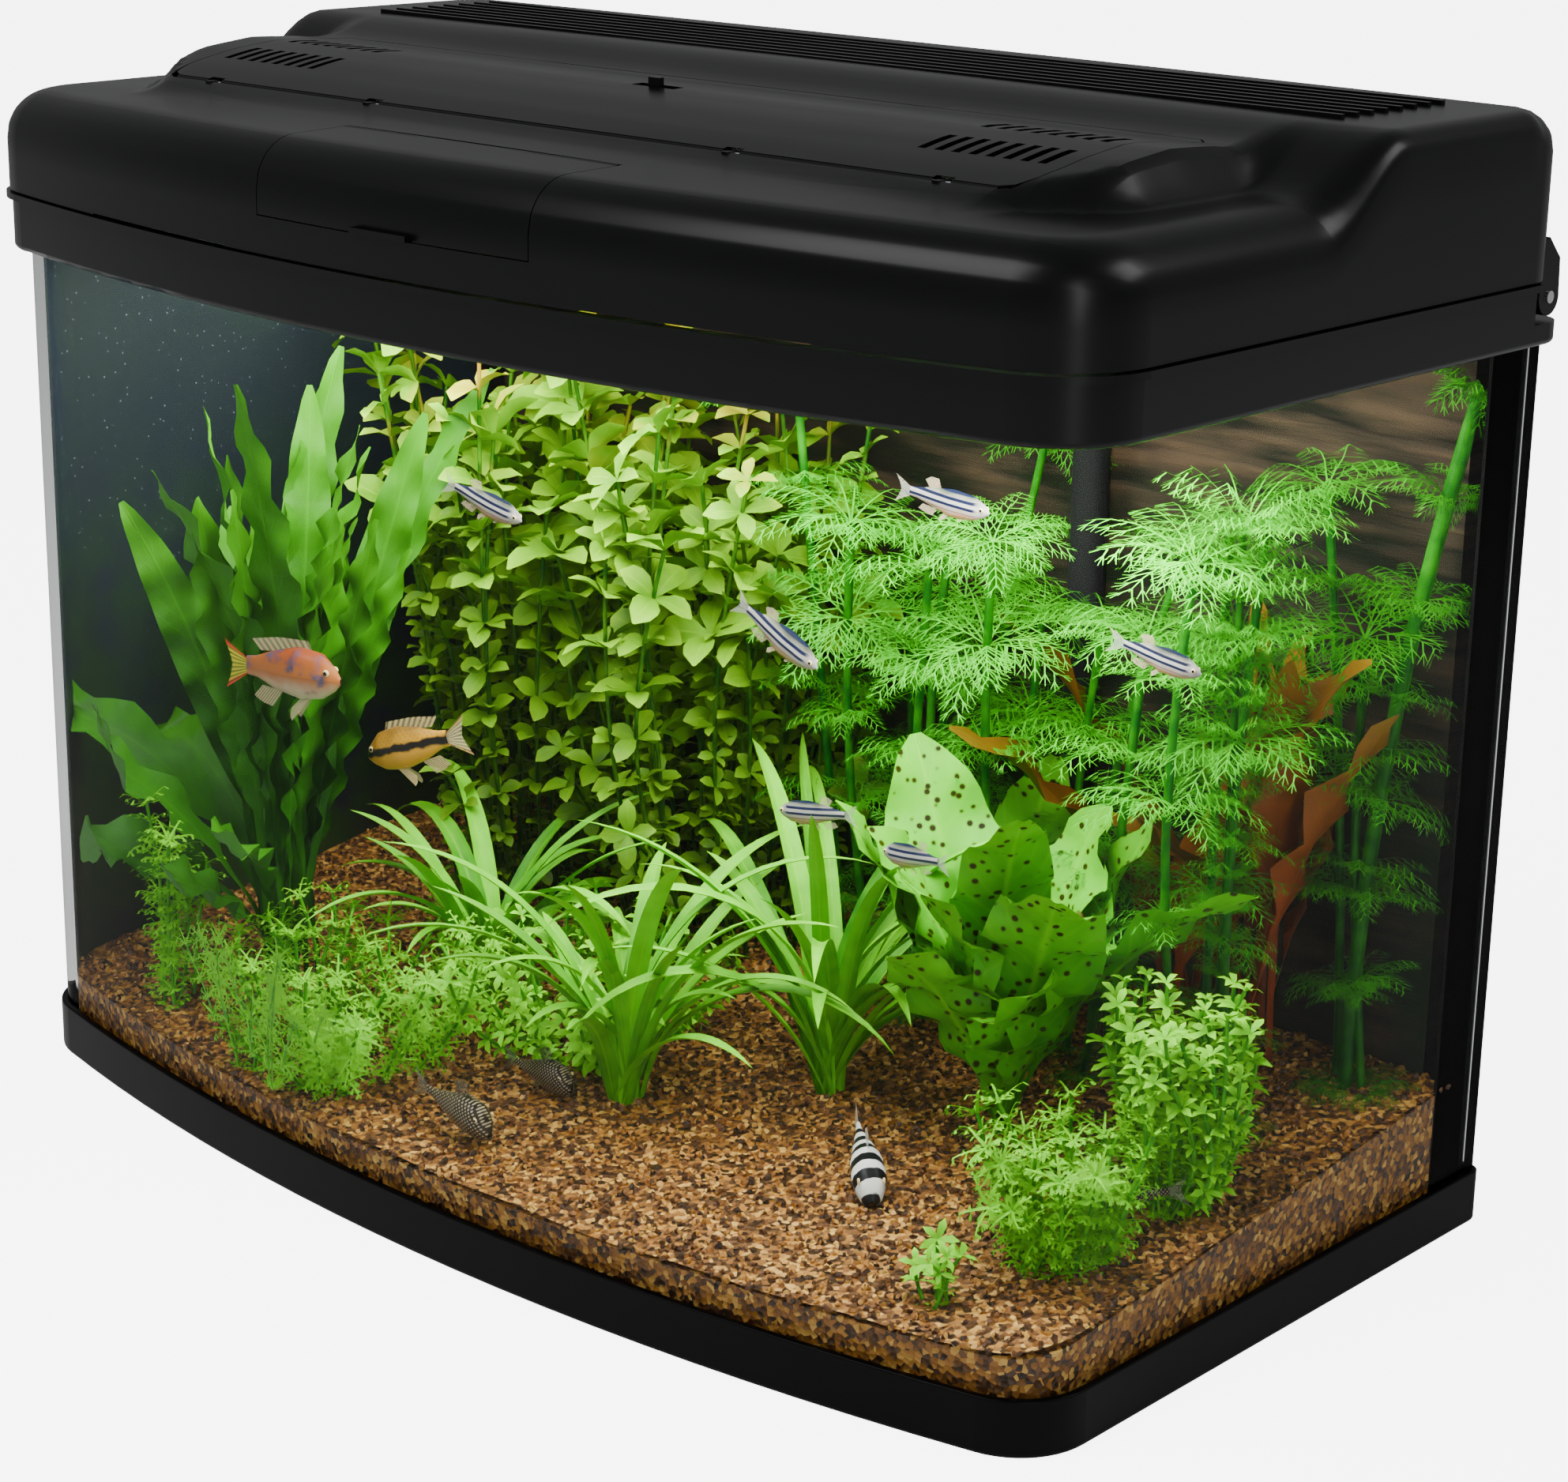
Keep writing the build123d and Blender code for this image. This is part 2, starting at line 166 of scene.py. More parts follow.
def rangeOf(tree, value, fromMin, fromMax, toMin=0.0, toMax=1.0):
    node = tree.nodes.new("ShaderNodeMapRange")
    for label, number in (("From Min", fromMin), ("From Max", fromMax), ("To Min", toMin), ("To Max", toMax)):
        node.inputs[label].default_value = number
    tree.links.new(value, node.inputs["Value"])
    return node.outputs["Result"]


def objectPlace(tree):
    return tree.nodes.new("ShaderNodeTexCoord").outputs["Object"]


def pattern(tree, kind, scale, detail=None, where=None):
    # A noise or cell pattern over the object's own space
    node = tree.nodes.new("ShaderNodeTex" + kind)
    node.inputs["Scale"].default_value = scale
    if detail is not None:
        node.inputs["Detail"].default_value = detail
    tree.links.new(where or objectPlace(tree), node.inputs["Vector"])
    return node


def heightOf(tree):
    split = tree.nodes.new("ShaderNodeSeparateXYZ")
    tree.links.new(objectPlace(tree), split.inputs[0])
    return split.outputs[2]


def leafUv(tree):
    uv = tree.nodes.new("ShaderNodeUVMap")
    uv.uv_map = "UVMap"
    split = tree.nodes.new("ShaderNodeSeparateXYZ")
    tree.links.new(uv.outputs[0], split.inputs[0])
    return split.outputs[0], split.outputs[1]


def toneOf(tree):
    node = tree.nodes.new("ShaderNodeAttribute")
    node.attribute_name = "tone"
    return node.outputs["Fac"]


def colourRamp(tree, value, stops):
    ramp = tree.nodes.new("ShaderNodeValToRGB")
    elements = ramp.color_ramp.elements
    while len(elements) < len(stops):
        elements.new(0.5)
    for element, (spot, colour) in zip(elements, stops):
        element.position = spot
        element.color = (*colour, 1)
    tree.links.new(value, ramp.inputs["Fac"])
    return ramp.outputs["Color"]


def makeLeafGroup():
    # Veins, mottling and tone for every kind of leaf, from the leaf's own UV map
    tree = bpy.data.node_groups.new("leafSkin", "ShaderNodeTree")
    for label in ("Deep", "Bright", "Tip", "Vein"):
        socket(tree, label, "Color", "INPUT", (0.1, 0.4, 0.02, 1))
    socket(tree, "Vein Count", "Float", "INPUT", 12.0)
    socket(tree, "Vein Strength", "Float", "INPUT", 0.5)
    socket(tree, "Color", "Color", "OUTPUT")
    socket(tree, "Roughness", "Float", "OUTPUT")
    socket(tree, "Height", "Float", "OUTPUT")
    inp = tree.nodes.new("NodeGroupInput").outputs
    out = tree.nodes.new("NodeGroupOutput").inputs
    across, along = leafUv(tree)
    off = calc(tree, "ABSOLUTE", calc(tree, "SUBTRACT", across, 0.5))
    rib = calc(tree, "SUBTRACT", 1.0, calc(tree, "DIVIDE", off, 0.05), True)
    slant = calc(tree, "SUBTRACT", calc(tree, "MULTIPLY", along, inp["Vein Count"]),
                 calc(tree, "MULTIPLY", off, 4.0))
    wave = calc(tree, "SINE", calc(tree, "MULTIPLY", slant, 2 * math.pi))
    sideVein = calc(tree, "SUBTRACT", wave, 0.72, True)
    veins = calc(tree, "MULTIPLY", calc(tree, "MAXIMUM", rib, sideVein), inp["Vein Strength"], True)
    mottle = pattern(tree, "Noise", 90.0, 3.0).outputs["Fac"]
    blend = calc(tree, "ADD", calc(tree, "MULTIPLY", toneOf(tree), 0.75),
                 calc(tree, "MULTIPLY", calc(tree, "SUBTRACT", mottle, 0.38), 0.9), True)
    body = mixColour(tree, blend, inp["Deep"], inp["Bright"])
    body = mixColour(tree, calc(tree, "MULTIPLY", calc(tree, "POWER", along, 3.0), 0.7), body, inp["Tip"])
    feed(tree, out["Color"], mixColour(tree, veins, body, inp["Vein"]))
    feed(tree, out["Roughness"], calc(tree, "ADD", 0.34, calc(tree, "MULTIPLY", mottle, 0.25)))
    feed(tree, out["Height"], calc(tree, "ADD", veins, calc(tree, "MULTIPLY", mottle, 0.4)))
    return tree


def baseMaterial(name, **plain):
    mat = bpy.data.materials.new(name)
    mat.use_nodes = True
    shader = mat.node_tree.nodes["Principled BSDF"]
    for key, value in plain.items():
        shader.inputs[key.replace("_", " ")].default_value = value
    return mat, mat.node_tree, shader


def bumpFrom(tree, shader, height, strength, distance):
    bump = tree.nodes.new("ShaderNodeBump")
    bump.inputs["Strength"].default_value = strength
    bump.inputs["Distance"].default_value = distance
    tree.links.new(height, bump.inputs["Height"])
    tree.links.new(bump.outputs["Normal"], shader.inputs["Normal"])


leafGroup = makeLeafGroup()


def leafMaterial(name, deep, bright, tip, vein, count=12.0, strength=0.4, spots=None, paintedFootShade=1.0, crest=None):
    # spots: colour of dark spots; the foot shade value: how far painted shade dims the foot, in place of the
    # shade among the plants; crest: colour of some of the highest leaves
    # painted glow: Emission Strength 0.04, fed with the leaf colour below, makes every leaf glow faintly
    # though it is no lamp
    mat, tree, shader = baseMaterial(name, Emission_Strength=0.04, IOR=1.4, Specular_IOR_Level=0.2)
    group = tree.nodes.new("ShaderNodeGroup")
    group.node_tree = leafGroup
    for key, value in (("Deep", deep), ("Bright", bright), ("Tip", tip), ("Vein", vein)):
        group.inputs[key].default_value = (*value, 1)
    group.inputs["Vein Count"].default_value = count
    group.inputs["Vein Strength"].default_value = strength
    colour = group.outputs["Color"]
    if spots:
        cells = pattern(tree, "Voronoi", 170.0).outputs["Distance"]
        colour = mixColour(tree, rangeOf(tree, cells, 0.30, 0.20), colour, spots)
    if crest:
        some = rangeOf(tree, pattern(tree, "Noise", 26.0).outputs["Fac"], 0.48, 0.60)
        high = rangeOf(tree, heightOf(tree), 0.27, 0.40)
        colour = mixColour(tree, calc(tree, "MULTIPLY", high, some), colour, crest)
    # painted shade: the colour is scaled down towards the gravel, darker the lower the leaf stands
    if paintedFootShade < 1:
        dark = tree.nodes.new("ShaderNodeVectorMath")
        dark.operation = "SCALE"
        tree.links.new(colour, dark.inputs[0])
        tree.links.new(rangeOf(tree, heightOf(tree), 0.05, 0.30, paintedFootShade), dark.inputs["Scale"])
        colour = dark.outputs[0]
    tree.links.new(colour, shader.inputs["Base Color"])
    tree.links.new(colour, shader.inputs["Emission Color"])
    tree.links.new(group.outputs["Roughness"], shader.inputs["Roughness"])
    bumpFrom(tree, shader, group.outputs["Height"], 0.5, 0.0006)
    return mat


leafMats = {
    "sword": leafMaterial("swordLeaf", (0.001, 0.030, 0.0005), (0.028, 0.20, 0.001), (0.06, 0.28, 0.002),
                          (0.06, 0.30, 0.004), 22.0, 0.35, paintedFootShade=0.5),
    "stem": leafMaterial("stemLeaf", (0.006, 0.075, 0.0005), (0.21, 0.52, 0.002), (0.26, 0.54, 0.003),
                         (0.30, 0.55, 0.012), 5.0, 0.4, paintedFootShade=0.3, crest=(0.62, 0.26, 0.02)),
    "feather": leafMaterial("featherLeaf", (0.002, 0.10, 0.0005), (0.07, 0.58, 0.0005), (0.10, 0.66, 0.001),
                            (0.08, 0.5, 0.003), 4.0, 0.2, paintedFootShade=0.42),
    "ribbon": leafMaterial("ribbonLeaf", (0.008, 0.14, 0.0005), (0.13, 0.52, 0.001), (0.16, 0.52, 0.002),
                           (0.24, 0.60, 0.01), 1.0, 0.4),
    "fine": leafMaterial("fineLeaf", (0.020, 0.20, 0.0005), (0.22, 0.66, 0.001), (0.26, 0.70, 0.002),
                         (0.2, 0.6, 0.005), 4.0, 0.2),
    "spotted": leafMaterial("spottedLeaf", (0.005, 0.12, 0.0005), (0.075, 0.42, 0.001), (0.12, 0.48, 0.002),
                            (0.18, 0.52, 0.01), 14.0, 0.45, spots=(0.022, 0.020, 0.001)),
    "red": leafMaterial("redLeaf", (0.06, 0.008, 0.001), (0.32, 0.050, 0.005), (0.20, 0.16, 0.004),
                        (0.20, 0.05, 0.008), 9.0, 0.4, paintedFootShade=0.6),
}


def plasticMaterial(name, colour, roughness, grain, gloss):
    # Moulded plastic with a fine sheen that varies a little over the surface
    mat, tree, shader = baseMaterial(name, IOR=1.5, Specular_IOR_Level=gloss)
    fine = pattern(tree, "Noise", 900.0).outputs["Fac"]
    broad = pattern(tree, "Noise", 9.0, 4.0).outputs["Fac"]
    feed(tree, shader.inputs["Base Color"], mixColour(tree, broad, colour, tuple(c * 1.35 for c in colour)))
    feed(tree, shader.inputs["Roughness"], rangeOf(tree, broad, 0.0, 1.0, roughness - 0.04, roughness + 0.05))
    bumpFrom(tree, shader, fine, grain, 0.0001)
    return mat


hoodPlastic = plasticMaterial("hoodPlastic", (0.0010, 0.0014, 0.0012), 0.29, 0.04, 0.17)
trimPlastic = plasticMaterial("trimPlastic", (0.0008, 0.0008, 0.0008), 0.34, 0.04, 0.06)
innerPlastic = plasticMaterial("innerPlastic", (0.008, 0.008, 0.009), 0.55, 0.15, 0.15)
greyPlastic = plasticMaterial("gearPlastic", (0.45, 0.45, 0.44), 0.5, 0.1, 0.4)
sealRubber = plasticMaterial("sealRubber", (0.003, 0.003, 0.003), 0.45, 0.2, 0.15)
spongeFoam = plasticMaterial("spongeFoam", (0.02, 0.05, 0.14), 0.95, 1.0, 0.1)
steelPin = baseMaterial("steelPin", Base_Color=(0.6, 0.6, 0.61, 1), Metallic=1.0, Roughness=0.25)[0]
brightSheet = baseMaterial("brightSheet", Base_Color=(0.85, 0.86, 0.87, 1), Metallic=1.0, Roughness=0.18)[0]
lampWhite = baseMaterial("lampWhite", Base_Color=(0.93, 0.94, 0.93, 1), Roughness=0.25)[0]
clearGlass = baseMaterial("clearGlass", Base_Color=(0.97, 1.0, 0.985, 1), Roughness=0.0, IOR=1.03,
                          Transmission_Weight=1.0, Coat_Weight=0.08, Coat_Roughness=0.04, Coat_IOR=1.4)[0]
darkGlass = baseMaterial("darkGlass", Base_Color=(0.004, 0.005, 0.005, 1), Roughness=0.06,
                         Specular_IOR_Level=0.4)[0]


def addMoss(tree, colour, moss, low, high):
    # Dark green growth that fades out between the heights low and high
    patch = rangeOf(tree, pattern(tree, "Noise", 34.0, 6.0).outputs["Fac"], 0.36, 0.56)
    share = calc(tree, "MULTIPLY", rangeOf(tree, heightOf(tree), high, low), patch)
    return mixColour(tree, share, colour, moss)


def barkMaterial():
    # Dark bark-brown sheet with soft level streaks
    mat, tree, shader = baseMaterial("barkSheet", Roughness=0.7)
    stretch = tree.nodes.new("ShaderNodeMapping")
    stretch.inputs["Scale"].default_value = (3.0, 3.0, 26.0)
    tree.links.new(objectPlace(tree), stretch.inputs["Vector"])
    streak = pattern(tree, "Noise", 5.0, 8.0, stretch.outputs["Vector"]).outputs["Fac"]
    bark = colourRamp(tree, streak, ((0.42, (0.006, 0.004, 0.003)), (0.78, (0.085, 0.045, 0.02))))
    feed(tree, shader.inputs["Base Color"], addMoss(tree, bark, (0.003, 0.012, 0.002), 0.16, 0.36))
    bumpFrom(tree, shader, streak, 0.6, 0.004)
    return mat


def endSheetMaterial():
    # Blue-black sheet with fine pale specks like small bubbles
    mat, tree, shader = baseMaterial("endSheet", Roughness=0.4)
    specks = rangeOf(tree, pattern(tree, "Voronoi", 260.0).outputs["Distance"], 0.16, 0.06)
    sheet = mixColour(tree, specks, (0.006, 0.009, 0.016), (0.06, 0.075, 0.09))
    feed(tree, shader.inputs["Base Color"], addMoss(tree, sheet, (0.006, 0.030, 0.003), 0.12, 0.30))
    return mat


def gravelMaterial():
    # Brown, orange and cream grains, a colour for each grain
    mat, tree, shader = baseMaterial("gravelGrain", Roughness=0.55)
    cells = pattern(tree, "Voronoi", 420.0)
    pick = tree.nodes.new("ShaderNodeSeparateColor")
    tree.links.new(cells.outputs["Color"], pick.inputs["Color"])
    feed(tree, shader.inputs["Base Color"], colourRamp(tree, pick.outputs[0], (
        (0.0, (0.014, 0.004, 0.0005)), (0.3, (0.075, 0.023, 0.001)), (0.55, (0.18, 0.062, 0.003)),
        (0.8, (0.32, 0.13, 0.009)), (1.0, (0.52, 0.30, 0.06)))))
    bumpFrom(tree, shader, cells.outputs["Distance"], 0.8, 0.0012)
    return mat


barkSheet = barkMaterial()
endSheet = endSheetMaterial()
gravelGrain = gravelMaterial()
print("materials ready")

finishes = {
    "hoodPlastic": (hoodPlastic, ["hood_frame", "hood_lid", "feeding_flap", "light_cover", "cover_catch"]),
    "trimPlastic": (trimPlastic, ["base_trim"]),
    "sealRubber": (sealRubber, ["corner_seal_left", "corner_seal_right", "base_seal", "cable_gland"]),
    "clearGlass": (clearGlass, ["bent_glass_panel", "base_glass", "splash_guard"]),
    "darkGlass": (darkGlass, ["rear_glass"]),
    "barkSheet": (barkSheet, ["rear_background"]),
    "endSheet": (endSheet, ["end_backing"]),
    "innerPlastic": (innerPlastic, ["filter_tray", "filter_pump", "intake_pipe", "intake_strainer",
                                    "outlet_nozzle", "lamp_housing", "lamp_holders"]),
    "spongeFoam": (spongeFoam, ["filter_sponge"]),
    "steelPin": (steelPin, ["lid_hinge_pins", "flap_hinge_pins", "cover_hinge_pins"]),
    "lampWhite": (lampWhite, ["lamp_tube_front", "lamp_tube_rear"]),
    "brightSheet": (brightSheet, ["reflector"]),
    "gearPlastic": (greyPlastic, ["control_gear"]),
}


def assignMaterial(obj, mat):
    obj.data.materials.clear()
    obj.data.materials.append(mat)


for mat, names in finishes.values():
    for name in names:
        assignMaterial(nodes[name], mat)
glassMesh = nodes["bent_glass_panel"].data
glassMesh.materials.append(sealRubber)  # the cut rear ends of the bent panel are coated black
for face in glassMesh.polygons:
    if face.normal.y > 0.9 and face.center.y > tankHigh.y - 0.001:
        face.material_index = 1


def place(obj, node, body="tank"):
    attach(obj, body)
    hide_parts(node)


def geometryTree(name, inputs):
    tree = bpy.data.node_groups.new(name, "GeometryNodeTree")
    socket(tree, "Geometry", "Geometry", "INPUT")
    for label, kind in inputs:
        socket(tree, label, kind, "INPUT")
    socket(tree, "Geometry", "Geometry", "OUTPUT")
    return tree, tree.nodes.new("NodeGroupInput"), tree.nodes.new("NodeGroupOutput")


def runTree(name, source, tree, values):
    # Runs the tree on the source object and returns the result as a plain mesh object
    modifier = source.modifiers.new("build", "NODES")
    modifier.node_group = tree
    for item in tree.interface.items_tree:
        if item.in_out == "INPUT" and item.name in values:
            modifier[item.identifier] = values[item.name]
    bpy.context.view_layer.update()
    mesh = bpy.data.meshes.new_from_object(source.evaluated_get(bpy.context.evaluated_depsgraph_get()))
    mesh.name = name
    bpy.data.objects.remove(source)
    return linkObject(name, mesh)


def makeStemTree():
    # Stems given as edges: leaves stand at even spacing along each, smaller towards the foot
    tree, inp, out = geometryTree("stemPlant", (
        ("Leaf", "Object"), ("Spacing", "Float"), ("Foot Size", "Float"), ("Head Size", "Float"),
        ("Turn", "Float"), ("Turn Jitter", "Float"), ("Tilt", "Float"), ("Stem Radius", "Float"),
        ("Seed", "Int"), ("Material", "Material")))
    add, link = tree.nodes.new, tree.links.new
    curve = add("GeometryNodeMeshToCurve")
    link(inp.outputs["Geometry"], curve.inputs["Mesh"])
    resample = add("GeometryNodeResampleCurve")
    resample.mode = "LENGTH"
    link(curve.outputs["Curve"], resample.inputs["Curve"])
    link(inp.outputs["Spacing"], resample.inputs["Length"])
    leaf = add("GeometryNodeObjectInfo")
    link(inp.outputs["Leaf"], leaf.inputs["Object"])
    tangent = add("GeometryNodeInputTangent")
    align = add("FunctionNodeAlignRotationToVector")
    align.axis = "Z"
    link(tangent.outputs["Tangent"], align.inputs["Vector"])
    index = add("GeometryNodeInputIndex")
    turn = add("ShaderNodeMath")
    turn.operation = "MULTIPLY"
    link(index.outputs[0], turn.inputs[0])
    link(inp.outputs["Turn"], turn.inputs[1])
    jitter = add("FunctionNodeRandomValue")
    link(inp.outputs["Seed"], jitter.inputs["Seed"])
    spread = add("ShaderNodeMath")
    spread.operation = "MULTIPLY_ADD"
    link(jitter.outputs[1], spread.inputs[0])
    link(inp.outputs["Turn Jitter"], spread.inputs[1])
    link(turn.outputs[0], spread.inputs[2])
    spin = add("FunctionNodeAxisAngleToRotation")
    spin.inputs["Axis"].default_value = (0, 0, 1)
    link(spread.outputs[0], spin.inputs["Angle"])
    rotate = add("FunctionNodeRotateRotation")
    rotate.rotation_space = "LOCAL"
    link(align.outputs["Rotation"], rotate.inputs["Rotation"])
    link(spin.outputs["Rotation"], rotate.inputs["Rotate By"])
    sway = add("FunctionNodeRandomValue")
    sway.data_type = "FLOAT_VECTOR"
    sway.inputs[0].default_value = (-1, -1, -0.3)
    link(inp.outputs["Seed"], sway.inputs["Seed"])
    lean = add("ShaderNodeVectorMath")
    lean.operation = "SCALE"
    link(sway.outputs[0], lean.inputs[0])
    link(inp.outputs["Tilt"], lean.inputs["Scale"])
    tip = add("FunctionNodeEulerToRotation")
    link(lean.outputs[0], tip.inputs[0])
    tilted = add("FunctionNodeRotateRotation")
    tilted.rotation_space = "LOCAL"
    link(rotate.outputs["Rotation"], tilted.inputs["Rotation"])
    link(tip.outputs[0], tilted.inputs["Rotate By"])
    along = add("GeometryNodeSplineParameter")
    size = add("ShaderNodeMapRange")
    link(along.outputs["Factor"], size.inputs["Value"])
    link(inp.outputs["Foot Size"], size.inputs["To Min"])
    link(inp.outputs["Head Size"], size.inputs["To Max"])
    vary = add("FunctionNodeRandomValue")
    vary.inputs[2].default_value = 0.75
    vary.inputs[3].default_value = 1.2
    link(inp.outputs["Seed"], vary.inputs["Seed"])
    scale = add("ShaderNodeMath")
    scale.operation = "MULTIPLY"
    link(size.outputs["Result"], scale.inputs[0])
    link(vary.outputs[1], scale.inputs[1])
    instance = add("GeometryNodeInstanceOnPoints")
    link(resample.outputs["Curve"], instance.inputs["Points"])
    link(leaf.outputs["Geometry"], instance.inputs["Instance"])
    link(tilted.outputs["Rotation"], instance.inputs["Rotation"])
    link(scale.outputs[0], instance.inputs["Scale"])
    toneValue = add("FunctionNodeRandomValue")
    toneValue.inputs[2].default_value = 0.05
    toneValue.inputs[3].default_value = 1.0
    link(inp.outputs["Seed"], toneValue.inputs["Seed"])
    tone = add("GeometryNodeStoreNamedAttribute")
    tone.data_type = "FLOAT"
    tone.domain = "INSTANCE"
    tone.inputs["Name"].default_value = "tone"
    link(instance.outputs["Instances"], tone.inputs["Geometry"])
    link(toneValue.outputs[1], tone.inputs["Value"])
    ring = add("GeometryNodeCurvePrimitiveCircle")
    ring.inputs["Resolution"].default_value = 5
    link(inp.outputs["Stem Radius"], ring.inputs["Radius"])
    tube = add("GeometryNodeCurveToMesh")
    link(curve.outputs["Curve"], tube.inputs["Curve"])
    link(ring.outputs["Curve"], tube.inputs["Profile Curve"])
    join = add("GeometryNodeJoinGeometry")
    link(tube.outputs["Mesh"], join.inputs[0])
    link(tone.outputs["Geometry"], join.inputs[0])
    realize = add("GeometryNodeRealizeInstances")
    link(join.outputs[0], realize.inputs[0])
    paint = add("GeometryNodeSetMaterial")
    link(realize.outputs[0], paint.inputs["Geometry"])
    link(inp.outputs["Material"], paint.inputs["Material"])
    link(paint.outputs[0], out.inputs[0])
    return tree


def makePebbleTree():
    # Grains strewn over a surface
    tree, inp, out = geometryTree("pebbles", (
        ("Grain", "Object"), ("Density", "Float"), ("Small", "Float"), ("Large", "Float"), ("Seed", "Int"),
        ("Material", "Material")))
    add, link = tree.nodes.new, tree.links.new
    strew = add("GeometryNodeDistributePointsOnFaces")
    link(inp.outputs["Geometry"], strew.inputs["Mesh"])
    link(inp.outputs["Density"], strew.inputs["Density"])
    link(inp.outputs["Seed"], strew.inputs["Seed"])
    grain = add("GeometryNodeObjectInfo")
    link(inp.outputs["Grain"], grain.inputs["Object"])
    turn = add("FunctionNodeRandomValue")
    turn.data_type = "FLOAT_VECTOR"
    turn.inputs[0].default_value = (0, 0, 0)
    turn.inputs[1].default_value = (6.28, 6.28, 6.28)
    link(inp.outputs["Seed"], turn.inputs["Seed"])
    size = add("FunctionNodeRandomValue")
    link(inp.outputs["Small"], size.inputs[2])
    link(inp.outputs["Large"], size.inputs[3])
    link(inp.outputs["Seed"], size.inputs["Seed"])
    instance = add("GeometryNodeInstanceOnPoints")
    link(strew.outputs["Points"], instance.inputs["Points"])
    link(grain.outputs["Geometry"], instance.inputs["Instance"])
    link(turn.outputs[0], instance.inputs["Rotation"])
    link(size.outputs[1], instance.inputs["Scale"])
    join = add("GeometryNodeJoinGeometry")
    link(inp.outputs["Geometry"], join.inputs[0])
    link(instance.outputs["Instances"], join.inputs[0])
    realize = add("GeometryNodeRealizeInstances")
    link(join.outputs[0], realize.inputs[0])
    paint = add("GeometryNodeSetMaterial")
    link(realize.outputs[0], paint.inputs["Geometry"])
    link(inp.outputs["Material"], paint.inputs["Material"])
    link(paint.outputs[0], out.inputs[0])
    return tree


stemTree = makeStemTree()
pebbleTree = makePebbleTree()


gravelLook = {"cell": 0.005, "rows": 60, "grainSmall": 0.0013, "grainLarge": 0.0026, "density": 46000,
              "seed": 4, "hump": 0.003, "frontLevel": 0.0335}


bowPlan = {"sagitta": 0.037, "corner": 0.031}


def bowCircles():
    # The wide arc of the front and the small arc of its corners
    sagitta, corner = bowPlan["sagitta"], bowPlan["corner"]
    bowRadius = (tankHigh.x ** 2 + sagitta ** 2) / (2 * sagitta)
    centre = tankLow.y + bowRadius
    cornerX = tankHigh.x - corner
    cornerY = centre - math.sqrt((bowRadius - corner) ** 2 - cornerX ** 2)
    return bowRadius, centre, corner, cornerX, cornerY


def tankPlan(grow):
    # Front edge of the tank's plan pushed outwards by grow: y for a given x
    half = tankHigh.x + grow
    bowRadius, centre, corner, cornerX, cornerY = bowCircles()

    def front(x):
        x = min(abs(x), half)
        y = centre - math.sqrt((bowRadius + grow) ** 2 - x * x)
        if x > cornerX + (corner + grow) * math.sin(math.atan2(cornerX, centre - cornerY)):
            drop = (corner + grow) ** 2 - (x - cornerX) ** 2
            y = cornerY - math.sqrt(max(drop, 0.0))
        return y

    return front, half


def bedTop(x, y):
    # Height of the gravel, with low humps
    slope = (bedHigh.z - gravelLook["frontLevel"]) / (bedHigh.y - bedLow.y)
    level = gravelLook["frontLevel"] + slope * (y - bedLow.y)
    swell = math.sin(x * 31 + 1.3) * math.cos(y * 37 + 0.6) + 0.6 * math.sin(x * 71 + y * 53)
    return level + 0.0004 + gravelLook["hump"] * 0.28 * (swell + 1.6)


def makeGravel():
    front, half = tankPlan(-0.0056)
    back = bedHigh.y
    cols = int(2 * half / gravelLook["cell"])
    rows = gravelLook["rows"]
    top = newBag()
    points, uvs = [], []
    for r in range(rows + 1):
        row = []
        for c in range(cols + 1):
            x = -half + 2 * half * c / cols
            fy = front(x)
            y = fy + (back - fy) * (r / rows)
            row.append((x, y, bedTop(x, y)))
        points.append(row)
        uvs.append([(0, 0)] * (cols + 1))
    addGrid(top, points, uvs, 0.5)
    surface = linkObject("gravelSurface", bagToMesh("gravelSurface", top))
    bpy.ops.mesh.primitive_ico_sphere_add(subdivisions=1, radius=1.0)
    grain = bpy.context.object
    grain.name = "grainShape"
    for i, v in enumerate(grain.data.vertices):
        v.co *= 0.8 + 0.35 * ((i * 37) % 11) / 11
        v.co.z *= 0.7
    grain.data.polygons.foreach_set("use_smooth", [True] * len(grain.data.polygons))
    bed = runTree("gravel_surface", surface, pebbleTree, {
        "Grain": grain, "Density": gravelLook["density"], "Small": gravelLook["grainSmall"],
        "Large": gravelLook["grainLarge"], "Seed": gravelLook["seed"], "Material": gravelGrain})
    bpy.data.objects.remove(grain)
    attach(bed, "tank")
    assignMaterial(nodes["gravel_bed"], gravelGrain)


makeGravel()
print("gravel made")


rng = np.random.default_rng(11)


plantRoom = {"rear": 0.1485, "top": 0.398, "samples": 400}


def keepInside(mesh):
    # Holds every point clear of the glass and the back
    front, half = tankPlan(-0.0065)
    co = np.zeros(len(mesh.vertices) * 3, dtype=np.float32)
    mesh.vertices.foreach_get("co", co)
    co = co.reshape(-1, 3)
    co[:, 0] = np.clip(co[:, 0], -half + 0.003, half - 0.001)
    across = np.linspace(-half, half, plantRoom["samples"])
    lowY = np.array([front(x) for x in across])
    co[:, 1] = np.maximum(co[:, 1], np.interp(co[:, 0], across, lowY) + 0.0008)
    co[:, 1] = np.minimum(co[:, 1], plantRoom["rear"])
    co[:, 2] = np.minimum(co[:, 2], plantRoom["top"])
    mesh.vertices.foreach_set("co", co.ravel())
    mesh.update()


def footOf(node):
    low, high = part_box(node)
    x, y = (low.x + high.x) / 2, (low.y + high.y) / 2
    return x, y, bedTop(x, y) - 0.002, high.z, (high.x - low.x) / 2


def finishBag(name, bag, kind, node):
    obj = linkObject(name, bagToMesh(name, bag))
    keepInside(obj.data)
    obj.data.materials.append(leafMats[kind])
    place(obj, node)
    return obj


swordLook = {"leaves": 24, "width": 0.0112, "steps": 40, "edgeWaves": 9}


def swordWidth(half, stalk):
    def width(t):
        if t < stalk:
            return 0.0013 + 0.0008 * t / stalk
        s = (t - stalk) / (1 - stalk)
        return 0.0021 * (1 - s) + half * math.sin(math.pi * min(1, s * 0.97 + 0.02)) ** 0.62
    return width


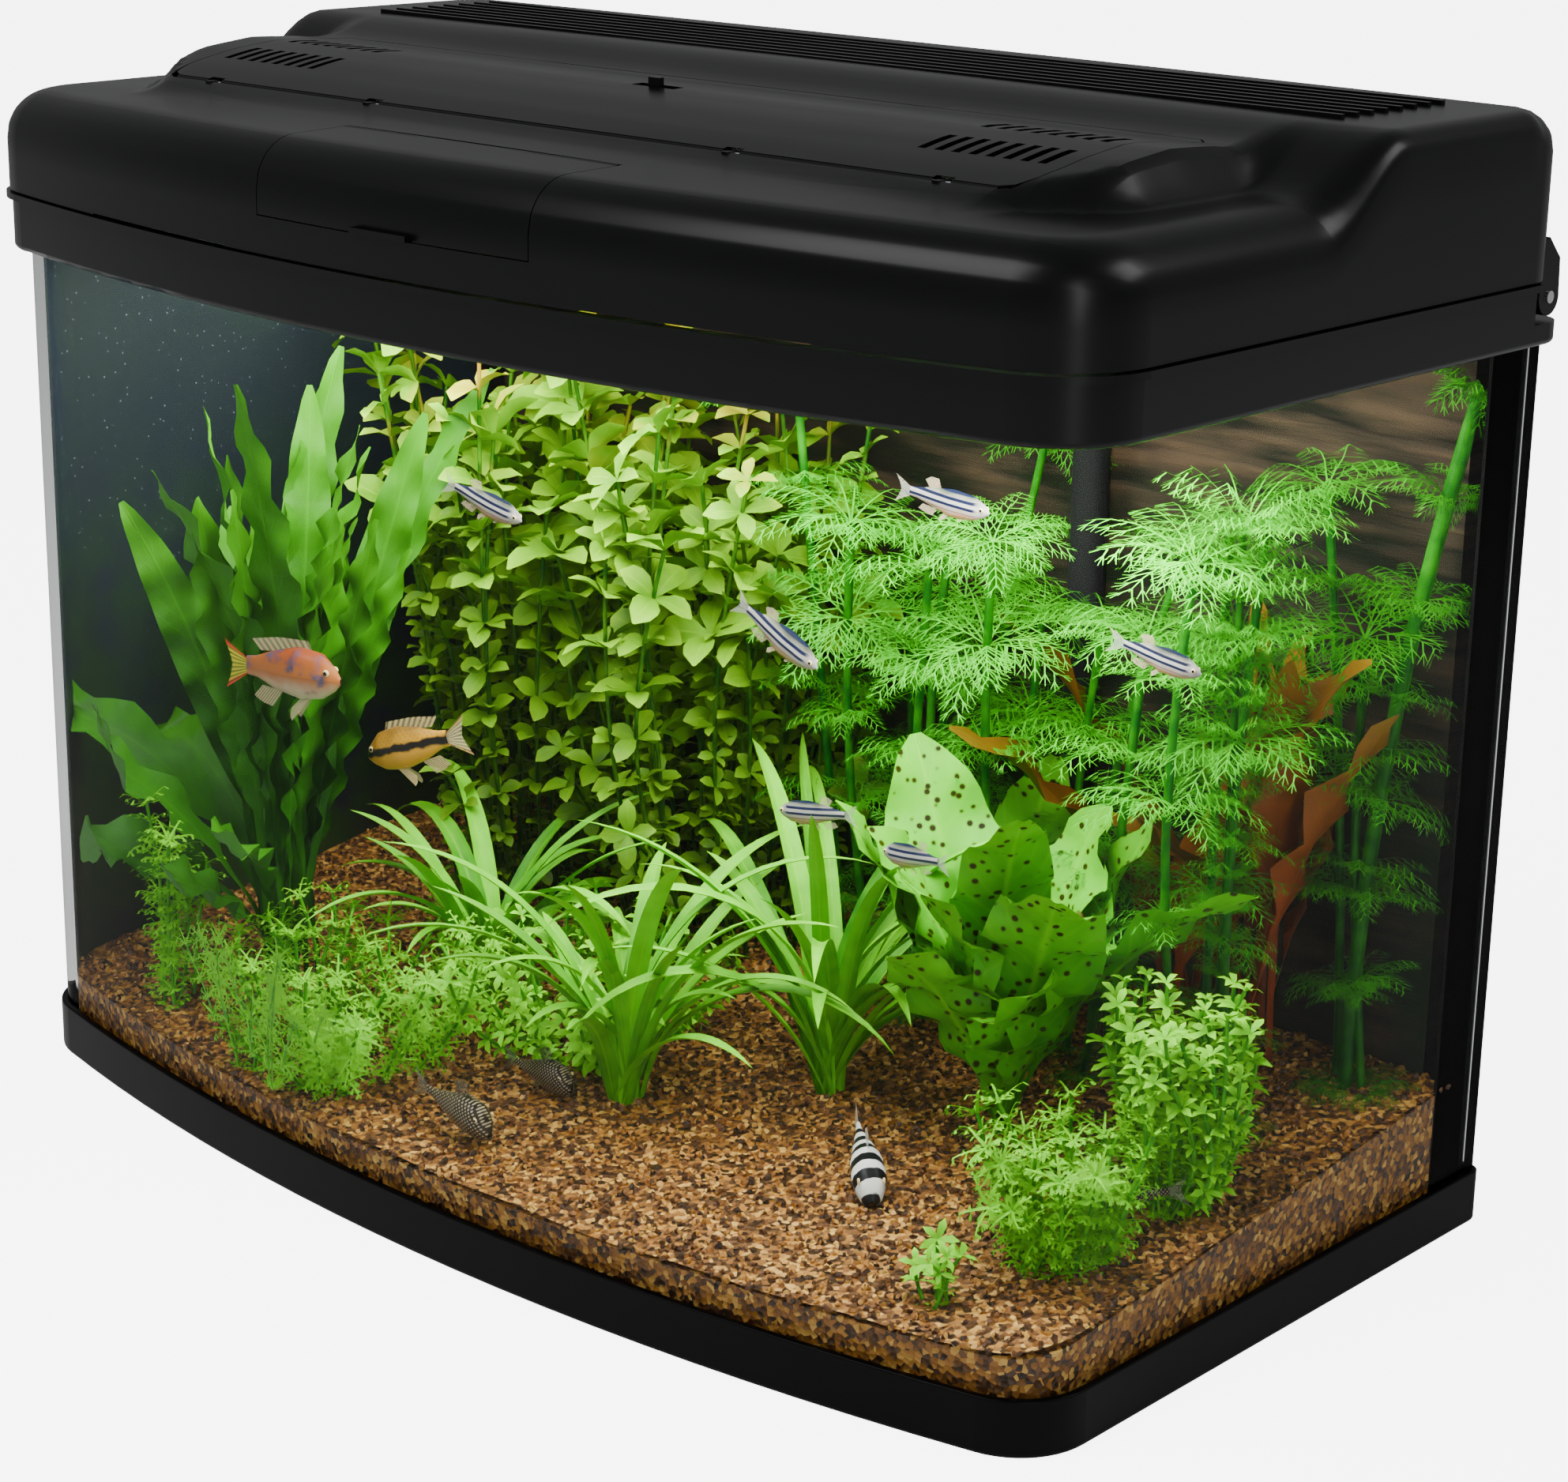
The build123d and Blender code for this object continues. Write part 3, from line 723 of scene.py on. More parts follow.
def makeTallSword():
    x, y, z, top = footOf("tall_sword_plant")[:4]
    bag = newBag()
    for _ in range(swordLook["leaves"]):
        length = (top - z) * rng.uniform(0.72, 1.02)
        azimuth = rng.uniform(0, 2 * math.pi)
        spine = bendingSpine((x + rng.uniform(-.012, .012), y + rng.uniform(-.012, .012), z), azimuth,
                             math.radians(rng.uniform(78, 88)), math.radians(rng.uniform(2, 26)), length,
                             swordLook["steps"], rng.uniform(-1, 1))
        half = swordLook["width"] * rng.uniform(0.75, 1.15)
        addLeaf(bag, spine, swordWidth(half, rng.uniform(0.28, 0.42)), 7, 0.1, 0.42, swordLook["edgeWaves"],
                rng.uniform(0, 6), rng.random(), rng.uniform(-1.3, 1.3))
    for azimuth, lift, bend, length, half in ((3.5, 74, 96, 0.235, 0.013), (4.1, 70, 60, 0.20, 0.012),
                                              (3.9, 66, 105, 0.16, 0.014), (5.2, 70, 80, 0.18, 0.012),
                                              (2.9, 72, 75, 0.17, 0.014), (4.7, 60, 50, 0.12, 0.013)):
        spine = bendingSpine((x, y, z), azimuth, math.radians(lift), math.radians(bend), length, 26, 0.3)
        addLeaf(bag, spine, swordWidth(half, 0.35), 7, 0.2, 0.35, 6, length * 90, 0.95, 0.5)
    finishBag("tall_sword_leaves", bag, "sword", "tall_sword_plant")


spottedLook = {"leaves": 15, "width": 0.024, "steps": 24}


def makeSpottedSword():
    x, y, z, top = footOf("spotted_sword_plant")[:4]
    bag = newBag()
    for k in range(spottedLook["leaves"]):
        length = (top - z) * rng.uniform(0.6, 1.12)
        azimuth = 2 * math.pi * k / spottedLook["leaves"] * 2 + rng.uniform(-.3, .3)
        spine = bendingSpine((x, y, z), azimuth, math.radians(rng.uniform(62, 84)),
                             math.radians(rng.uniform(10, 52)), length, spottedLook["steps"],
                             rng.uniform(-.5, .5))
        half = spottedLook["width"] * rng.uniform(0.7, 1.1)

        def width(t):
            if t < 0.25:
                return 0.0024
            return 0.0024 + half * math.sin(math.pi * min(1, (t - 0.25) / 0.75)) ** 0.7

        addLeaf(bag, spine, width, 9, 0.22, 0.24, 5, rng.uniform(0, 6), rng.random(), rng.uniform(-.6, .6))
    finishBag("spotted_sword_leaves", bag, "spotted", "spotted_sword_plant")


ribbonLook = {"width": 0.0042, "steps": 18}


def makeRibbons(node, name, leaves, tall=1.0):
    x, y, z, top = footOf(node)[:4]
    bag = newBag()
    for k in range(leaves):
        length = (top - z) * rng.uniform(0.75, 1.5) * tall
        azimuth = 2.399 * k + rng.uniform(-.4, .4)
        spine = bendingSpine((x + rng.uniform(-.005, .005), y + rng.uniform(-.005, .005), z), azimuth,
                             math.radians(rng.uniform(60, 88)), math.radians(rng.uniform(45, 130)), length,
                             ribbonLook["steps"], rng.uniform(-.4, .4))
        half = ribbonLook["width"] * rng.uniform(0.7, 1.2)

        def width(t):
            return half * (0.55 + 0.45 * min(1, t * 5)) * (1 - t ** 5)

        addLeaf(bag, spine, width, 5, 0.45, 0.0, 1, 0, rng.random(), rng.uniform(-.2, .2))
    finishBag(name, bag, "ribbon", node)


redLook = {"leaves": 22, "width": 0.0120}


def makeRedPlant():
    x, y, z, top = footOf("red_leaf_plant")[:4]
    bag = newBag()
    for _ in range(redLook["leaves"]):
        length = (top - z) * rng.uniform(0.6, 1.25)
        spine = bendingSpine((x + rng.uniform(-.03, .03), y + rng.uniform(-.03, .01), z),
                             rng.uniform(0, 6.28), math.radians(rng.uniform(72, 88)),
                             math.radians(rng.uniform(10, 60)), length, 20, rng.uniform(-.6, .6))
        half = redLook["width"] * rng.uniform(0.8, 1.3)
        addLeaf(bag, spine, swordWidth(half, 0.4), 7, 0.25, 0.32, 5, rng.uniform(0, 6), rng.random(),
                rng.uniform(-.8, .8))
    finishBag("red_leaves", bag, "red", "red_leaf_plant")


def stemBundle(node, count, lean, sway, spread, shortest, flare=1.0):
    # Stems as edges about the node's place, for the stem tree
    x, y, z, top, reach = footOf(node)
    verts, edges = [], []
    for k in range(count):
        angle = 2.399 * k + rng.uniform(-.3, .3)
        radius = reach * spread * math.sqrt((k + 0.5) / count) if count > 1 else 0.0
        footX = x + math.cos(angle) * radius * 0.6
        footY = y + math.sin(angle) * radius * 0.6
        headX = x + math.cos(angle) * radius * flare
        headY = y + math.sin(angle) * radius * flare
        height = (top - z) * rng.uniform(shortest, 1.0)
        bowX, bowY = rng.uniform(-sway, sway, 2)
        start = len(verts)
        steps = 14
        for i in range(steps + 1):
            t = i / steps
            swing = math.sin(math.pi * t)
            verts.append((footX + (headX - footX) * t + bowX * swing + lean[0] * t * t,
                          footY + (headY - footY) * t + bowY * swing + lean[1] * t * t,
                          z + height * t))
            if i:
                edges.append((start + i - 1, start + i))
    mesh = bpy.data.meshes.new("stems")
    mesh.from_pydata(verts, edges, [])
    return linkObject("stems", mesh)


def leafPair(length, half, lift, steps=6, columns=3, count=2):
    # Leaves set round a stem
    bag = newBag()
    for k in range(count):
        azimuth = 2 * math.pi * k / count + 0.2 * math.sin(k * 3)
        size = 1 - 0.15 * (k % 2)
        spine = bendingSpine((0, 0, 0), azimuth, math.radians(lift - 6 * (k % 3)), math.radians(lift + 14),
                             length * size, steps)

        def width(t):
            if t < 0.16:
                return half * 0.12
            return 0.1 * half + half * size * math.sin(math.pi * min(1, (t - 0.14) / 0.86)) ** 0.62

        addLeaf(bag, spine, width, columns, 0.3, 0.08, 2, k, 0.5, 0.25 * math.sin(k * 7))
    return linkObject("leafShape", bagToMesh("leafShape", bag))


def featherWhorl(length, arms, pairs, thread, lift=30, droop=58):
    # A star of thread-like leaves, each forked again and again
    bag = newBag()

    def addThread(points, half):
        points = np.array(points)
        direction = points[-1] - points[0]
        side = np.array([-direction[1], direction[0], 0.0])
        side /= np.linalg.norm(side) + 1e-9
        rows, uvs = [], []
        for i, p in enumerate(points):
            w = half * (1 - 0.6 * i / (len(points) - 1))
            rows.append([p - side * w, p + side * w])
            uvs.append([(0.2, 0.5), (0.8, 0.5)])
        addGrid(bag, rows, uvs, 0.5)

    for k in range(arms):
        azimuth = 2 * math.pi * k / arms + 0.2 * math.sin(k * 5)
        spine = bendingSpine((0, 0, 0), azimuth, math.radians(lift + 8 * math.sin(k * 3)),
                             math.radians(droop), length * (1 - 0.12 * (k % 2)), 5)
        addThread(spine, thread * 1.3)
        for p in range(pairs):
            t = 0.16 + 0.80 * p / (pairs - 1)
            index = t * 5
            low = int(index)
            spot = spine[low] + (spine[min(low + 1, 5)] - spine[low]) * (index - low)
            reachOut = length * 0.46 * (1.05 - t * 0.72)
            for way in (-1, 1):
                turn = azimuth + way * 0.8
                tip = spot + reachOut * np.array([math.cos(turn), math.sin(turn), 0.12 - 0.75 * t])
                addThread([spot, tip], thread)
                fork = spot + (tip - spot) * 0.45
                for bend in (-0.55, 0.5):
                    end = fork + reachOut * 0.5 * np.array([math.cos(turn + bend), math.sin(turn + bend),
                                                            0.05 - 0.6 * t])
                    addThread([fork, end], thread * 0.8)
    return linkObject("whorlShape", bagToMesh("whorlShape", bag))


def joinAll(parts, name):
    bpy.ops.object.select_all(action="DESELECT")
    for part in parts:
        part.select_set(True)
    bpy.context.view_layer.objects.active = parts[0]
    bpy.ops.object.join()
    parts[0].name = name
    return parts[0]


def makeStemPlant(name, node, kind, groups):
    # groups: (leaf, bundle settings, stem tree settings) for each kind of stem in the plant
    parts = []
    for leaf, bundle, values in groups:
        stems = stemBundle(node, *bundle)
        parts.append(runTree(name, stems, stemTree, {"Leaf": leaf, "Material": leafMats[kind], **values}))
    plant = joinAll(parts, name) if len(parts) > 1 else parts[0]
    keepInside(plant.data)
    place(plant, node)
    return plant


leafyLook = {"Spacing": 0.0215, "Foot Size": 0.35, "Head Size": 1.15, "Turn": 0.9, "Turn Jitter": 3.0,
             "Tilt": 0.62, "Stem Radius": 0.0010}
featherLook = {"Spacing": 0.042, "Foot Size": 0.55, "Head Size": 1.0, "Turn": 0.7, "Turn Jitter": 3.0,
               "Tilt": 0.30, "Stem Radius": 0.0020}
tuftLook = {"Spacing": 0.0085, "Foot Size": 1.05, "Head Size": 0.5, "Turn": 0.7, "Turn Jitter": 3.0,
            "Tilt": 0.12, "Stem Radius": 0.0016}
bushLook = {"Spacing": 0.0085, "Foot Size": 0.7, "Head Size": 1.0, "Turn": 0.9, "Turn Jitter": 3.0,
            "Tilt": 0.35, "Stem Radius": 0.0008}


def makeStemPlants():
    rosette = leafPair(0.0215, 0.0056, 34, 5, 3, 4)
    small = leafPair(0.015, 0.0036, 34, 4, 3, 4)
    still = (0, 0)
    for name, node, seed in (("leafy_stems_a", "leafy_stems_left", 3),
                             ("leafy_stems_b", "leafy_stems_middle", 8)):
        makeStemPlant(name, node, "stem", (
            (rosette, (34, still, 0.016, 1.25, 0.52, 1.15), {**leafyLook, "Seed": seed}),
            (small, (26, still, 0.014, 1.45, 0.25, 1.1), {**leafyLook, "Spacing": 0.015, "Seed": seed + 1})))
    for shape in (rosette, small):
        bpy.data.objects.remove(shape)
    star = featherWhorl(0.043, 12, 7, 0.00036)
    tuft = featherWhorl(0.046, 13, 7, 0.00042, 52, 42)
    for name, node, count, seed in (("feathery_stems_a", "feathery_stems_left", 6, 5),
                                    ("feathery_stems_b", "feathery_stems_middle", 6, 6)):
        makeStemPlant(name, node, "feather",
                      ((star, (count, still, 0.012, 1.45, 0.66, 1.15), {**featherLook, "Seed": seed}),))
    makeStemPlant("feathery_stems_c", "feathery_stem_front", "feather", (
        (star, (3, still, 0.008, 0.9, 0.82, 1.0), {**featherLook, "Seed": 7}),
        (tuft, (1, still, 0.003, 1.0, 0.97, 1.0), {**tuftLook, "Seed": 12, "Foot Size": 0.1, "Head Size": 0.9,
                                                   "Spacing": 0.014})))
    makeStemPlant("feathery_stems_d", "thick_feathery_stem", "feather", (
        (star, (1, (0.03, 0.015), 0.002, 1.0, 1.0, 1.0), {**featherLook, "Seed": 9, "Stem Radius": 0.0034}),
        (star, (2, (-0.02, 0), 0.01, 1.2, 0.5, 1.1), {**featherLook, "Seed": 10})))
    for shape in (star, tuft):
        bpy.data.objects.remove(shape)
    antler = featherWhorl(0.0125, 5, 3, 0.00055, 40, 30)
    sprig = leafPair(0.0085, 0.0015, 40, 3, 2, 5)
    for name, node, shape, count, spread, seed in (
            ("fine_bush_a", "fine_leaf_bush_left", antler, 46, 2.2, 2),
            ("fine_bush_b", "fine_leaf_bush_middle", sprig, 70, 2.6, 3),
            ("fine_bush_c", "fine_leaf_bush_front", antler, 30, 1.25, 4),
            ("fine_bush_d", "fine_leaf_bush_right", sprig, 60, 2.0, 5),
            ("milfoil_leaves", "milfoil_stem", antler, 6, 1.6, 6),
            ("sprout_leaves", "small_sprout", sprig, 5, 1.0, 7)):
        makeStemPlant(name, node, "fine",
                      ((shape, (count, still, 0.008, spread, 0.5, 1.15), {**bushLook, "Seed": seed}),))
    for shape in (antler, sprig):
        bpy.data.objects.remove(shape)


makeTallSword()
makeSpottedSword()
makeRibbons("ribbon_plant_left", "ribbon_leaves_a", 30)
makeRibbons("ribbon_plant_right", "ribbon_leaves_b", 30)
makeRibbons("low_ribbon_plant", "ribbon_leaves_c", 24)
makeRedPlant()
makeStemPlants()
print("plants made")


def islands(obj):
    # Point sets of a node's separate solids
    mesh = obj.data
    parent = list(range(len(mesh.vertices)))

    def root(i):
        while parent[i] != i:
            parent[i] = parent[parent[i]]
            i = parent[i]
        return i

    for a, b in (tuple(e.vertices) for e in mesh.edges):
        parent[root(a)] = root(b)
    spots = {}
    for v in mesh.vertices:
        spots.setdefault(tuple(round(c, 5) for c in v.co), []).append(v.index)
    for same in spots.values():
        for other in same[1:]:
            parent[root(other)] = root(same[0])
    groups = {}
    for v in mesh.vertices:
        groups.setdefault(root(v.index), []).append(obj.matrix_world @ v.co)
    return [np.array([tuple(p) for p in g]) for g in groups.values()]


def fishPlace(points):
    # Nose, heading, up, side, length and depth of a fish from its simple form
    far = points[np.argmax(np.linalg.norm(points - points[0], axis=1))]
    other = points[np.argmax(np.linalg.norm(points - far, axis=1))]
    heading = (far - other) / np.linalg.norm(far - other)
    middle = (far + other) / 2
    along = (points - middle) @ heading
    radial = np.linalg.norm(points - middle - np.outer(along, heading), axis=1)
    if along[np.argmax(radial)] < 0:
        heading, far, other = -heading, other, far
    up = np.array([0.0, 0.0, 1.0]) - heading[2] * heading
    up /= np.linalg.norm(up)
    return far, heading, up, np.cross(heading, up), np.linalg.norm(far - other), 2 * radial.max()


def addFish(bag, where, shape):
    nose, heading, up, side, length, depth = where
    body = shape["body"]

    def at(t, rise, out=0.0):
        return nose - heading * t * length + up * rise * depth + side * out * depth

    stations, ring = 26, 16
    points, uvs = [], []
    for i in range(stations + 1):
        t = body * (i / stations) ** 1.25
        s = t / body
        top = np.interp(s, shape["s"], shape["top"])
        low = np.interp(s, shape["s"], shape["low"])
        wide = np.interp(s, shape["s"], shape["wide"])
        row, uvRow = [], []
        for k in range(ring + 1):
            a = 2 * math.pi * k / ring
            rise = (top - low) / 2 * math.sin(a) + (top + low) / 2
            row.append(at(t, rise, wide * math.cos(a)))
            uvRow.append((t, (rise + 0.5)))
        points.append(row)
        uvs.append(uvRow)
    addGrid(bag, points, uvs, 0.5)

    def fin(edge, base, rays=7, tone=-1.0):
        rows, uvRows = [], []
        for i in range(rays + 1):
            f = i / rays
            b = np.array(base[0]) * (1 - f) + np.array(base[1]) * f
            e = np.array([np.interp(f, np.linspace(0, 1, len(edge)), [p[j] for p in edge]) for j in range(3)])
            line = [b + (e - b) * g for g in (0, 0.34, 0.67, 1.0)]
            rows.append([at(*p) for p in line])
            uvRows.append([(f, g) for g in (0, 0.34, 0.67, 1.0)])
        addGrid(bag, rows, uvRows, tone)

    tail = shape["tail"]
    fin(((1.0, tail, 0.0), (0.955, tail * 0.45, 0.01), (0.93, 0.0, 0.02), (0.955, -tail * 0.45, 0.01),
         (1.0, -tail, 0.0)), ((body - 0.03, 0.09, 0), (body - 0.03, -0.09, 0)), 12, -2.0)
    for t0, t1, reachTop, base, lean in shape["backFins"]:
        fin(((t0 + lean * 0.6, base + reachTop, 0), ((t0 + t1) / 2 + lean, base + reachTop, 0),
             (t1 + lean, base + reachTop * 0.55, 0)), ((t0, base, 0), (t1, base * 0.8, 0)))
    for t0, t1, reachLow, base, lean in shape["lowFins"]:
        for way in (-1, 1) if t1 - t0 < 0.07 else (0,):
            fin(((t0 + lean, base - reachLow, 0.12 * way),
                 ((t0 + t1) / 2 + lean, base - reachLow * 0.85, 0.1 * way),
                 (t1 + lean * 0.8, base - reachLow * 0.5, 0.06 * way)),
                ((t0, base, 0.04 * way), (t1, base * 0.85, 0.03 * way)), 5)
    eyeT, eyeRise, eyeOut, eyeSize = shape["eye"]
    for way in (-1, 1):
        centre = at(eyeT, eyeRise, eyeOut * way)
        for size, push, tone in ((1.0, 0.0, 3.0), (0.62, 0.55, 2.0)):
            radius = eyeSize * length * size
            rows = []
            for i in range(7):
                polar = math.pi * i / 6
                rows.append([centre + side * way * eyeSize * length * push * 0.6 + radius * (
                    side * math.cos(polar) * 0.5 + math.sin(polar) * (
                        heading * math.cos(b) + up * math.sin(b))) for b in np.linspace(0, 2 * math.pi, 11)])
            addGrid(bag, rows, [[(0, 0)] * 11] * 7, tone)


slimFish = {
    "body": 0.84, "s": (0, 0.06, 0.2, 0.45, 0.7, 0.9, 1),
    "top": (0.0, 0.2, 0.40, 0.46, 0.34, 0.20, 0.17),
    "low": (-0.04, -0.2, -0.40, -0.48, -0.30, -0.16, -0.14),
    "wide": (0.02, 0.14, 0.26, 0.27, 0.18, 0.08, 0.05),
    "tail": 0.46, "backFins": ((0.52, 0.64, 0.30, 0.36, 0.05),),
    "lowFins": ((0.54, 0.70, 0.26, -0.34, 0.05), (0.42, 0.46, 0.24, -0.44, 0.06),
                (0.22, 0.26, 0.16, -0.36, 0.07)),
    "eye": (0.065, 0.06, 0.15, 0.024)}
deepFish = {
    "body": 0.80, "s": (0, 0.07, 0.2, 0.42, 0.7, 0.9, 1),
    "top": (0.0, 0.18, 0.40, 0.46, 0.34, 0.20, 0.18),
    "low": (-0.10, -0.24, -0.40, -0.46, -0.34, -0.18, -0.16),
    "wide": (0.03, 0.12, 0.22, 0.24, 0.16, 0.07, 0.05),
    "tail": 0.44, "backFins": ((0.22, 0.68, 0.20, 0.38, 0.07),),
    "lowFins": ((0.50, 0.68, 0.30, -0.36, 0.10), (0.26, 0.31, 0.40, -0.42, 0.14),
                (0.24, 0.29, 0.20, -0.20, 0.12)),
    "eye": (0.085, 0.10, 0.13, 0.026)}
bottomFish = {
    "body": 0.82, "s": (0, 0.07, 0.2, 0.42, 0.7, 0.9, 1),
    "top": (-0.12, 0.16, 0.42, 0.46, 0.24, 0.10, 0.10),
    "low": (-0.30, -0.40, -0.42, -0.40, -0.24, -0.12, -0.10),
    "wide": (0.08, 0.24, 0.36, 0.34, 0.20, 0.08, 0.05),
    "tail": 0.40, "backFins": ((0.30, 0.44, 0.34, 0.44, 0.05),),
    "lowFins": ((0.20, 0.26, 0.14, -0.36, 0.10), (0.46, 0.50, 0.14, -0.34, 0.06)),
    "eye": (0.10, 0.16, 0.26, 0.022)}


def fishMarks(tree, kind, along, height, rough, speckle):
    # How much of the mark colour shows, for each kind of marking
    def wave(value, turns, shift=0.0):
        angle = calc(tree, "MULTIPLY", value, 2 * math.pi * turns)
        return calc(tree, "SINE", calc(tree, "ADD", angle, shift))

    def steep(value, start, slope):
        return calc(tree, "MULTIPLY", calc(tree, "SUBTRACT", value, start), slope, True)

    if kind == "stripes":
        marks = calc(tree, "MULTIPLY", steep(wave(height, 4.6), 0.05, 3.5), steep(along, 0.09, 20.0))
        return calc(tree, "MULTIPLY", marks, steep(height, 0.27, 20.0))
    if kind == "bands":
        shift = calc(tree, "ADD", calc(tree, "MULTIPLY", height, 3.0), calc(tree, "MULTIPLY", rough, 9.0))
        return calc(tree, "MULTIPLY", wave(along, 7.0, shift), 6.0, True)
    if kind == "dots":
        return steep(calc(tree, "MULTIPLY", wave(along, 26.0), wave(height, 9.0)), 0.3, 5.0)
    if kind == "line":
        off = calc(tree, "ABSOLUTE", calc(tree, "SUBTRACT", calc(tree, "ADD", height, rough), 0.52))
        line = calc(tree, "MULTIPLY", calc(tree, "SUBTRACT", 0.13, off), 16.0, True)
        scales = calc(tree, "SUBTRACT", calc(tree, "MULTIPLY", wave(along, 24), wave(height, 8)), 0.45)
        return calc(tree, "MAXIMUM", line, calc(tree, "MULTIPLY", scales, steep(height, 0.5, 6.0), True))
    return steep(speckle, 0.56, 6.0)


def fishMaterial(name, back, middle, belly, marking, mark, finColour, tailColour):
    # Scales, marks, fins and eyes, told apart by the tone of each part
    # painted glow: Emission Strength 0.03, fed with the skin colour below, makes the fish glow faintly though
    # they are no lamp
    mat, tree, shader = baseMaterial(name, Roughness=0.38, Specular_IOR_Level=0.3, Emission_Strength=0.03)
    speckle = pattern(tree, "Noise", 160.0).outputs["Fac"]
    along, height = leafUv(tree)
    rough = calc(tree, "MULTIPLY", calc(tree, "SUBTRACT", speckle, 0.5), 0.22)
    level = calc(tree, "ADD", height, rough)
    flank = calc(tree, "MULTIPLY", calc(tree, "SUBTRACT", level, 0.12), 3.0, True)
    upper = calc(tree, "MULTIPLY", calc(tree, "SUBTRACT", level, 0.62), 4.0, True)
    colour = mixColour(tree, upper, mixColour(tree, flank, belly, middle), back)
    colour = mixColour(tree, fishMarks(tree, marking, along, height, rough, speckle), colour, mark)
    tone = toneOf(tree)
    isFin = calc(tree, "LESS_THAN", tone, -0.5)
    isPupil = calc(tree, "MULTIPLY", calc(tree, "GREATER_THAN", tone, 1.5),
                   calc(tree, "LESS_THAN", tone, 2.5))
    middleOff = calc(tree, "ABSOLUTE", calc(tree, "SUBTRACT", along, 0.5))
    edge = calc(tree, "MULTIPLY", calc(tree, "SUBTRACT", middleOff, 0.33), 12.0, True)
    for share, paint in ((isFin, finColour),
                         (calc(tree, "LESS_THAN", tone, -1.5), mixColour(tree, edge, *tailColour)),
                         (calc(tree, "GREATER_THAN", tone, 2.5), (0.65, 0.50, 0.22)),
                         (isPupil, (0.004, 0.004, 0.006))):
        colour = mixColour(tree, share, colour, paint)
    tree.links.new(colour, shader.inputs["Base Color"])
    tree.links.new(colour, shader.inputs["Emission Color"])
    rays = calc(tree, "MULTIPLY", calc(tree, "SINE", calc(tree, "MULTIPLY", along, 2 * math.pi * 9)), 0.25)
    clear = calc(tree, "MULTIPLY", isFin, calc(tree, "ADD", 0.42, rays))
    feed(tree, shader.inputs["Alpha"], calc(tree, "SUBTRACT", 1.0, clear))
    return mat


def makeShoal(name, node, shapes, mats):
    # One piece for each kind; shapes and materials may take turns between fish
    parts = []
    for k, points in enumerate(sorted(islands(nodes[node]), key=lambda p: p[:, 0].mean())):
        if len(points) < 8:
            continue
        bag = newBag()
        addFish(bag, fishPlace(points), shapes[k % len(shapes)])
        obj = linkObject(name, bagToMesh(name, bag))
        obj.data.materials.append(mats[k % len(mats)])
        parts.append(obj)
    shoal = joinAll(parts, name) if len(parts) > 1 else parts[0]
    place(shoal, node)


def makeFish():
    danio = fishMaterial("danioSkin", (0.04, 0.05, 0.03), (0.26, 0.25, 0.24), (0.36, 0.17, 0.07),
                         "stripes", (0.004, 0.007, 0.030), (0.42, 0.34, 0.22),
                         ((0.30, 0.31, 0.28), (0.36, 0.33, 0.24)))
    ram = fishMaterial("redCichlidSkin", (0.20, 0.035, 0.006), (0.32, 0.10, 0.02), (0.46, 0.38, 0.26),
                       "mottle", (0.05, 0.05, 0.10), (0.50, 0.40, 0.22),
                       ((0.50, 0.44, 0.02), (0.60, 0.015, 0.003)))
    gold = fishMaterial("goldCichlidSkin", (0.14, 0.07, 0.008), (0.46, 0.23, 0.015), (0.50, 0.20, 0.02),
                        "line", (0.006, 0.004, 0.003), (0.55, 0.42, 0.20),
                        ((0.55, 0.45, 0.25), (0.50, 0.30, 0.10)))
    cory = fishMaterial("catfishSkin", (0.010, 0.007, 0.005), (0.018, 0.012, 0.007), (0.06, 0.03, 0.01),
                        "dots", (0.30, 0.24, 0.14), (0.12, 0.10, 0.06),
                        ((0.16, 0.14, 0.10), (0.12, 0.10, 0.07)))
    zebra = fishMaterial("plecoSkin", (0.60, 0.61, 0.59), (0.66, 0.66, 0.64), (0.66, 0.64, 0.60),
                         "bands", (0.004, 0.004, 0.005), (0.55, 0.56, 0.55),
                         ((0.6, 0.6, 0.58), (0.02, 0.02, 0.02)))
    rust = fishMaterial("rustSkin", (0.10, 0.012, 0.004), (0.26, 0.04, 0.012), (0.28, 0.08, 0.02),
                        "mottle", (0.04, 0.01, 0.004), (0.3, 0.12, 0.05),
                        ((0.3, 0.1, 0.05), (0.3, 0.06, 0.03)))
    makeShoal("danio_bodies", "striped_danios", (slimFish,), (danio,))
    makeShoal("cichlid_bodies", "dwarf_cichlids", (deepFish,), (ram, gold))
    makeShoal("catfish_bodies", "spotted_catfish", (bottomFish,), (cory,))
    makeShoal("pleco_body", "striped_pleco", (bottomFish,), (zebra,))
    makeShoal("red_fish_body", "red_fish", (slimFish,), (rust,))


makeFish()
print("fish made")


lidPlan = {"grow": 0.0084, "low": 0.4084, "rear": 0.165, "rearCorner": 0.018, "wall": 0.003,
           "crown": 0.0045, "ridge": 0.476, "ridgeCrown": 0.0012,
           "roll": 0.020, "ridgeRoll": 0.009, "ridgeFoot": 0.004, "ridgeHead": 0.050}
deckLine = ((-0.180, 0.4535), (-0.127, 0.4550), (-0.105, 0.4556), (0.2, 0.4570))
bulgeLine = ((-0.112, 0.4553), (-0.105, 0.4562), (-0.093, 0.4596), (-0.077, 0.4634), (-0.053, 0.4678),
             (-0.028, 0.4704), (-0.004, 0.4692), (0.024, 0.4662), (0.060, 0.4640))
bulgeEnd = (0.255, 0.272)


def soften(value, low, high):
    t = min(1.0, max(0.0, (value - low) / (high - low)))
    return t * t * (3 - 2 * t)


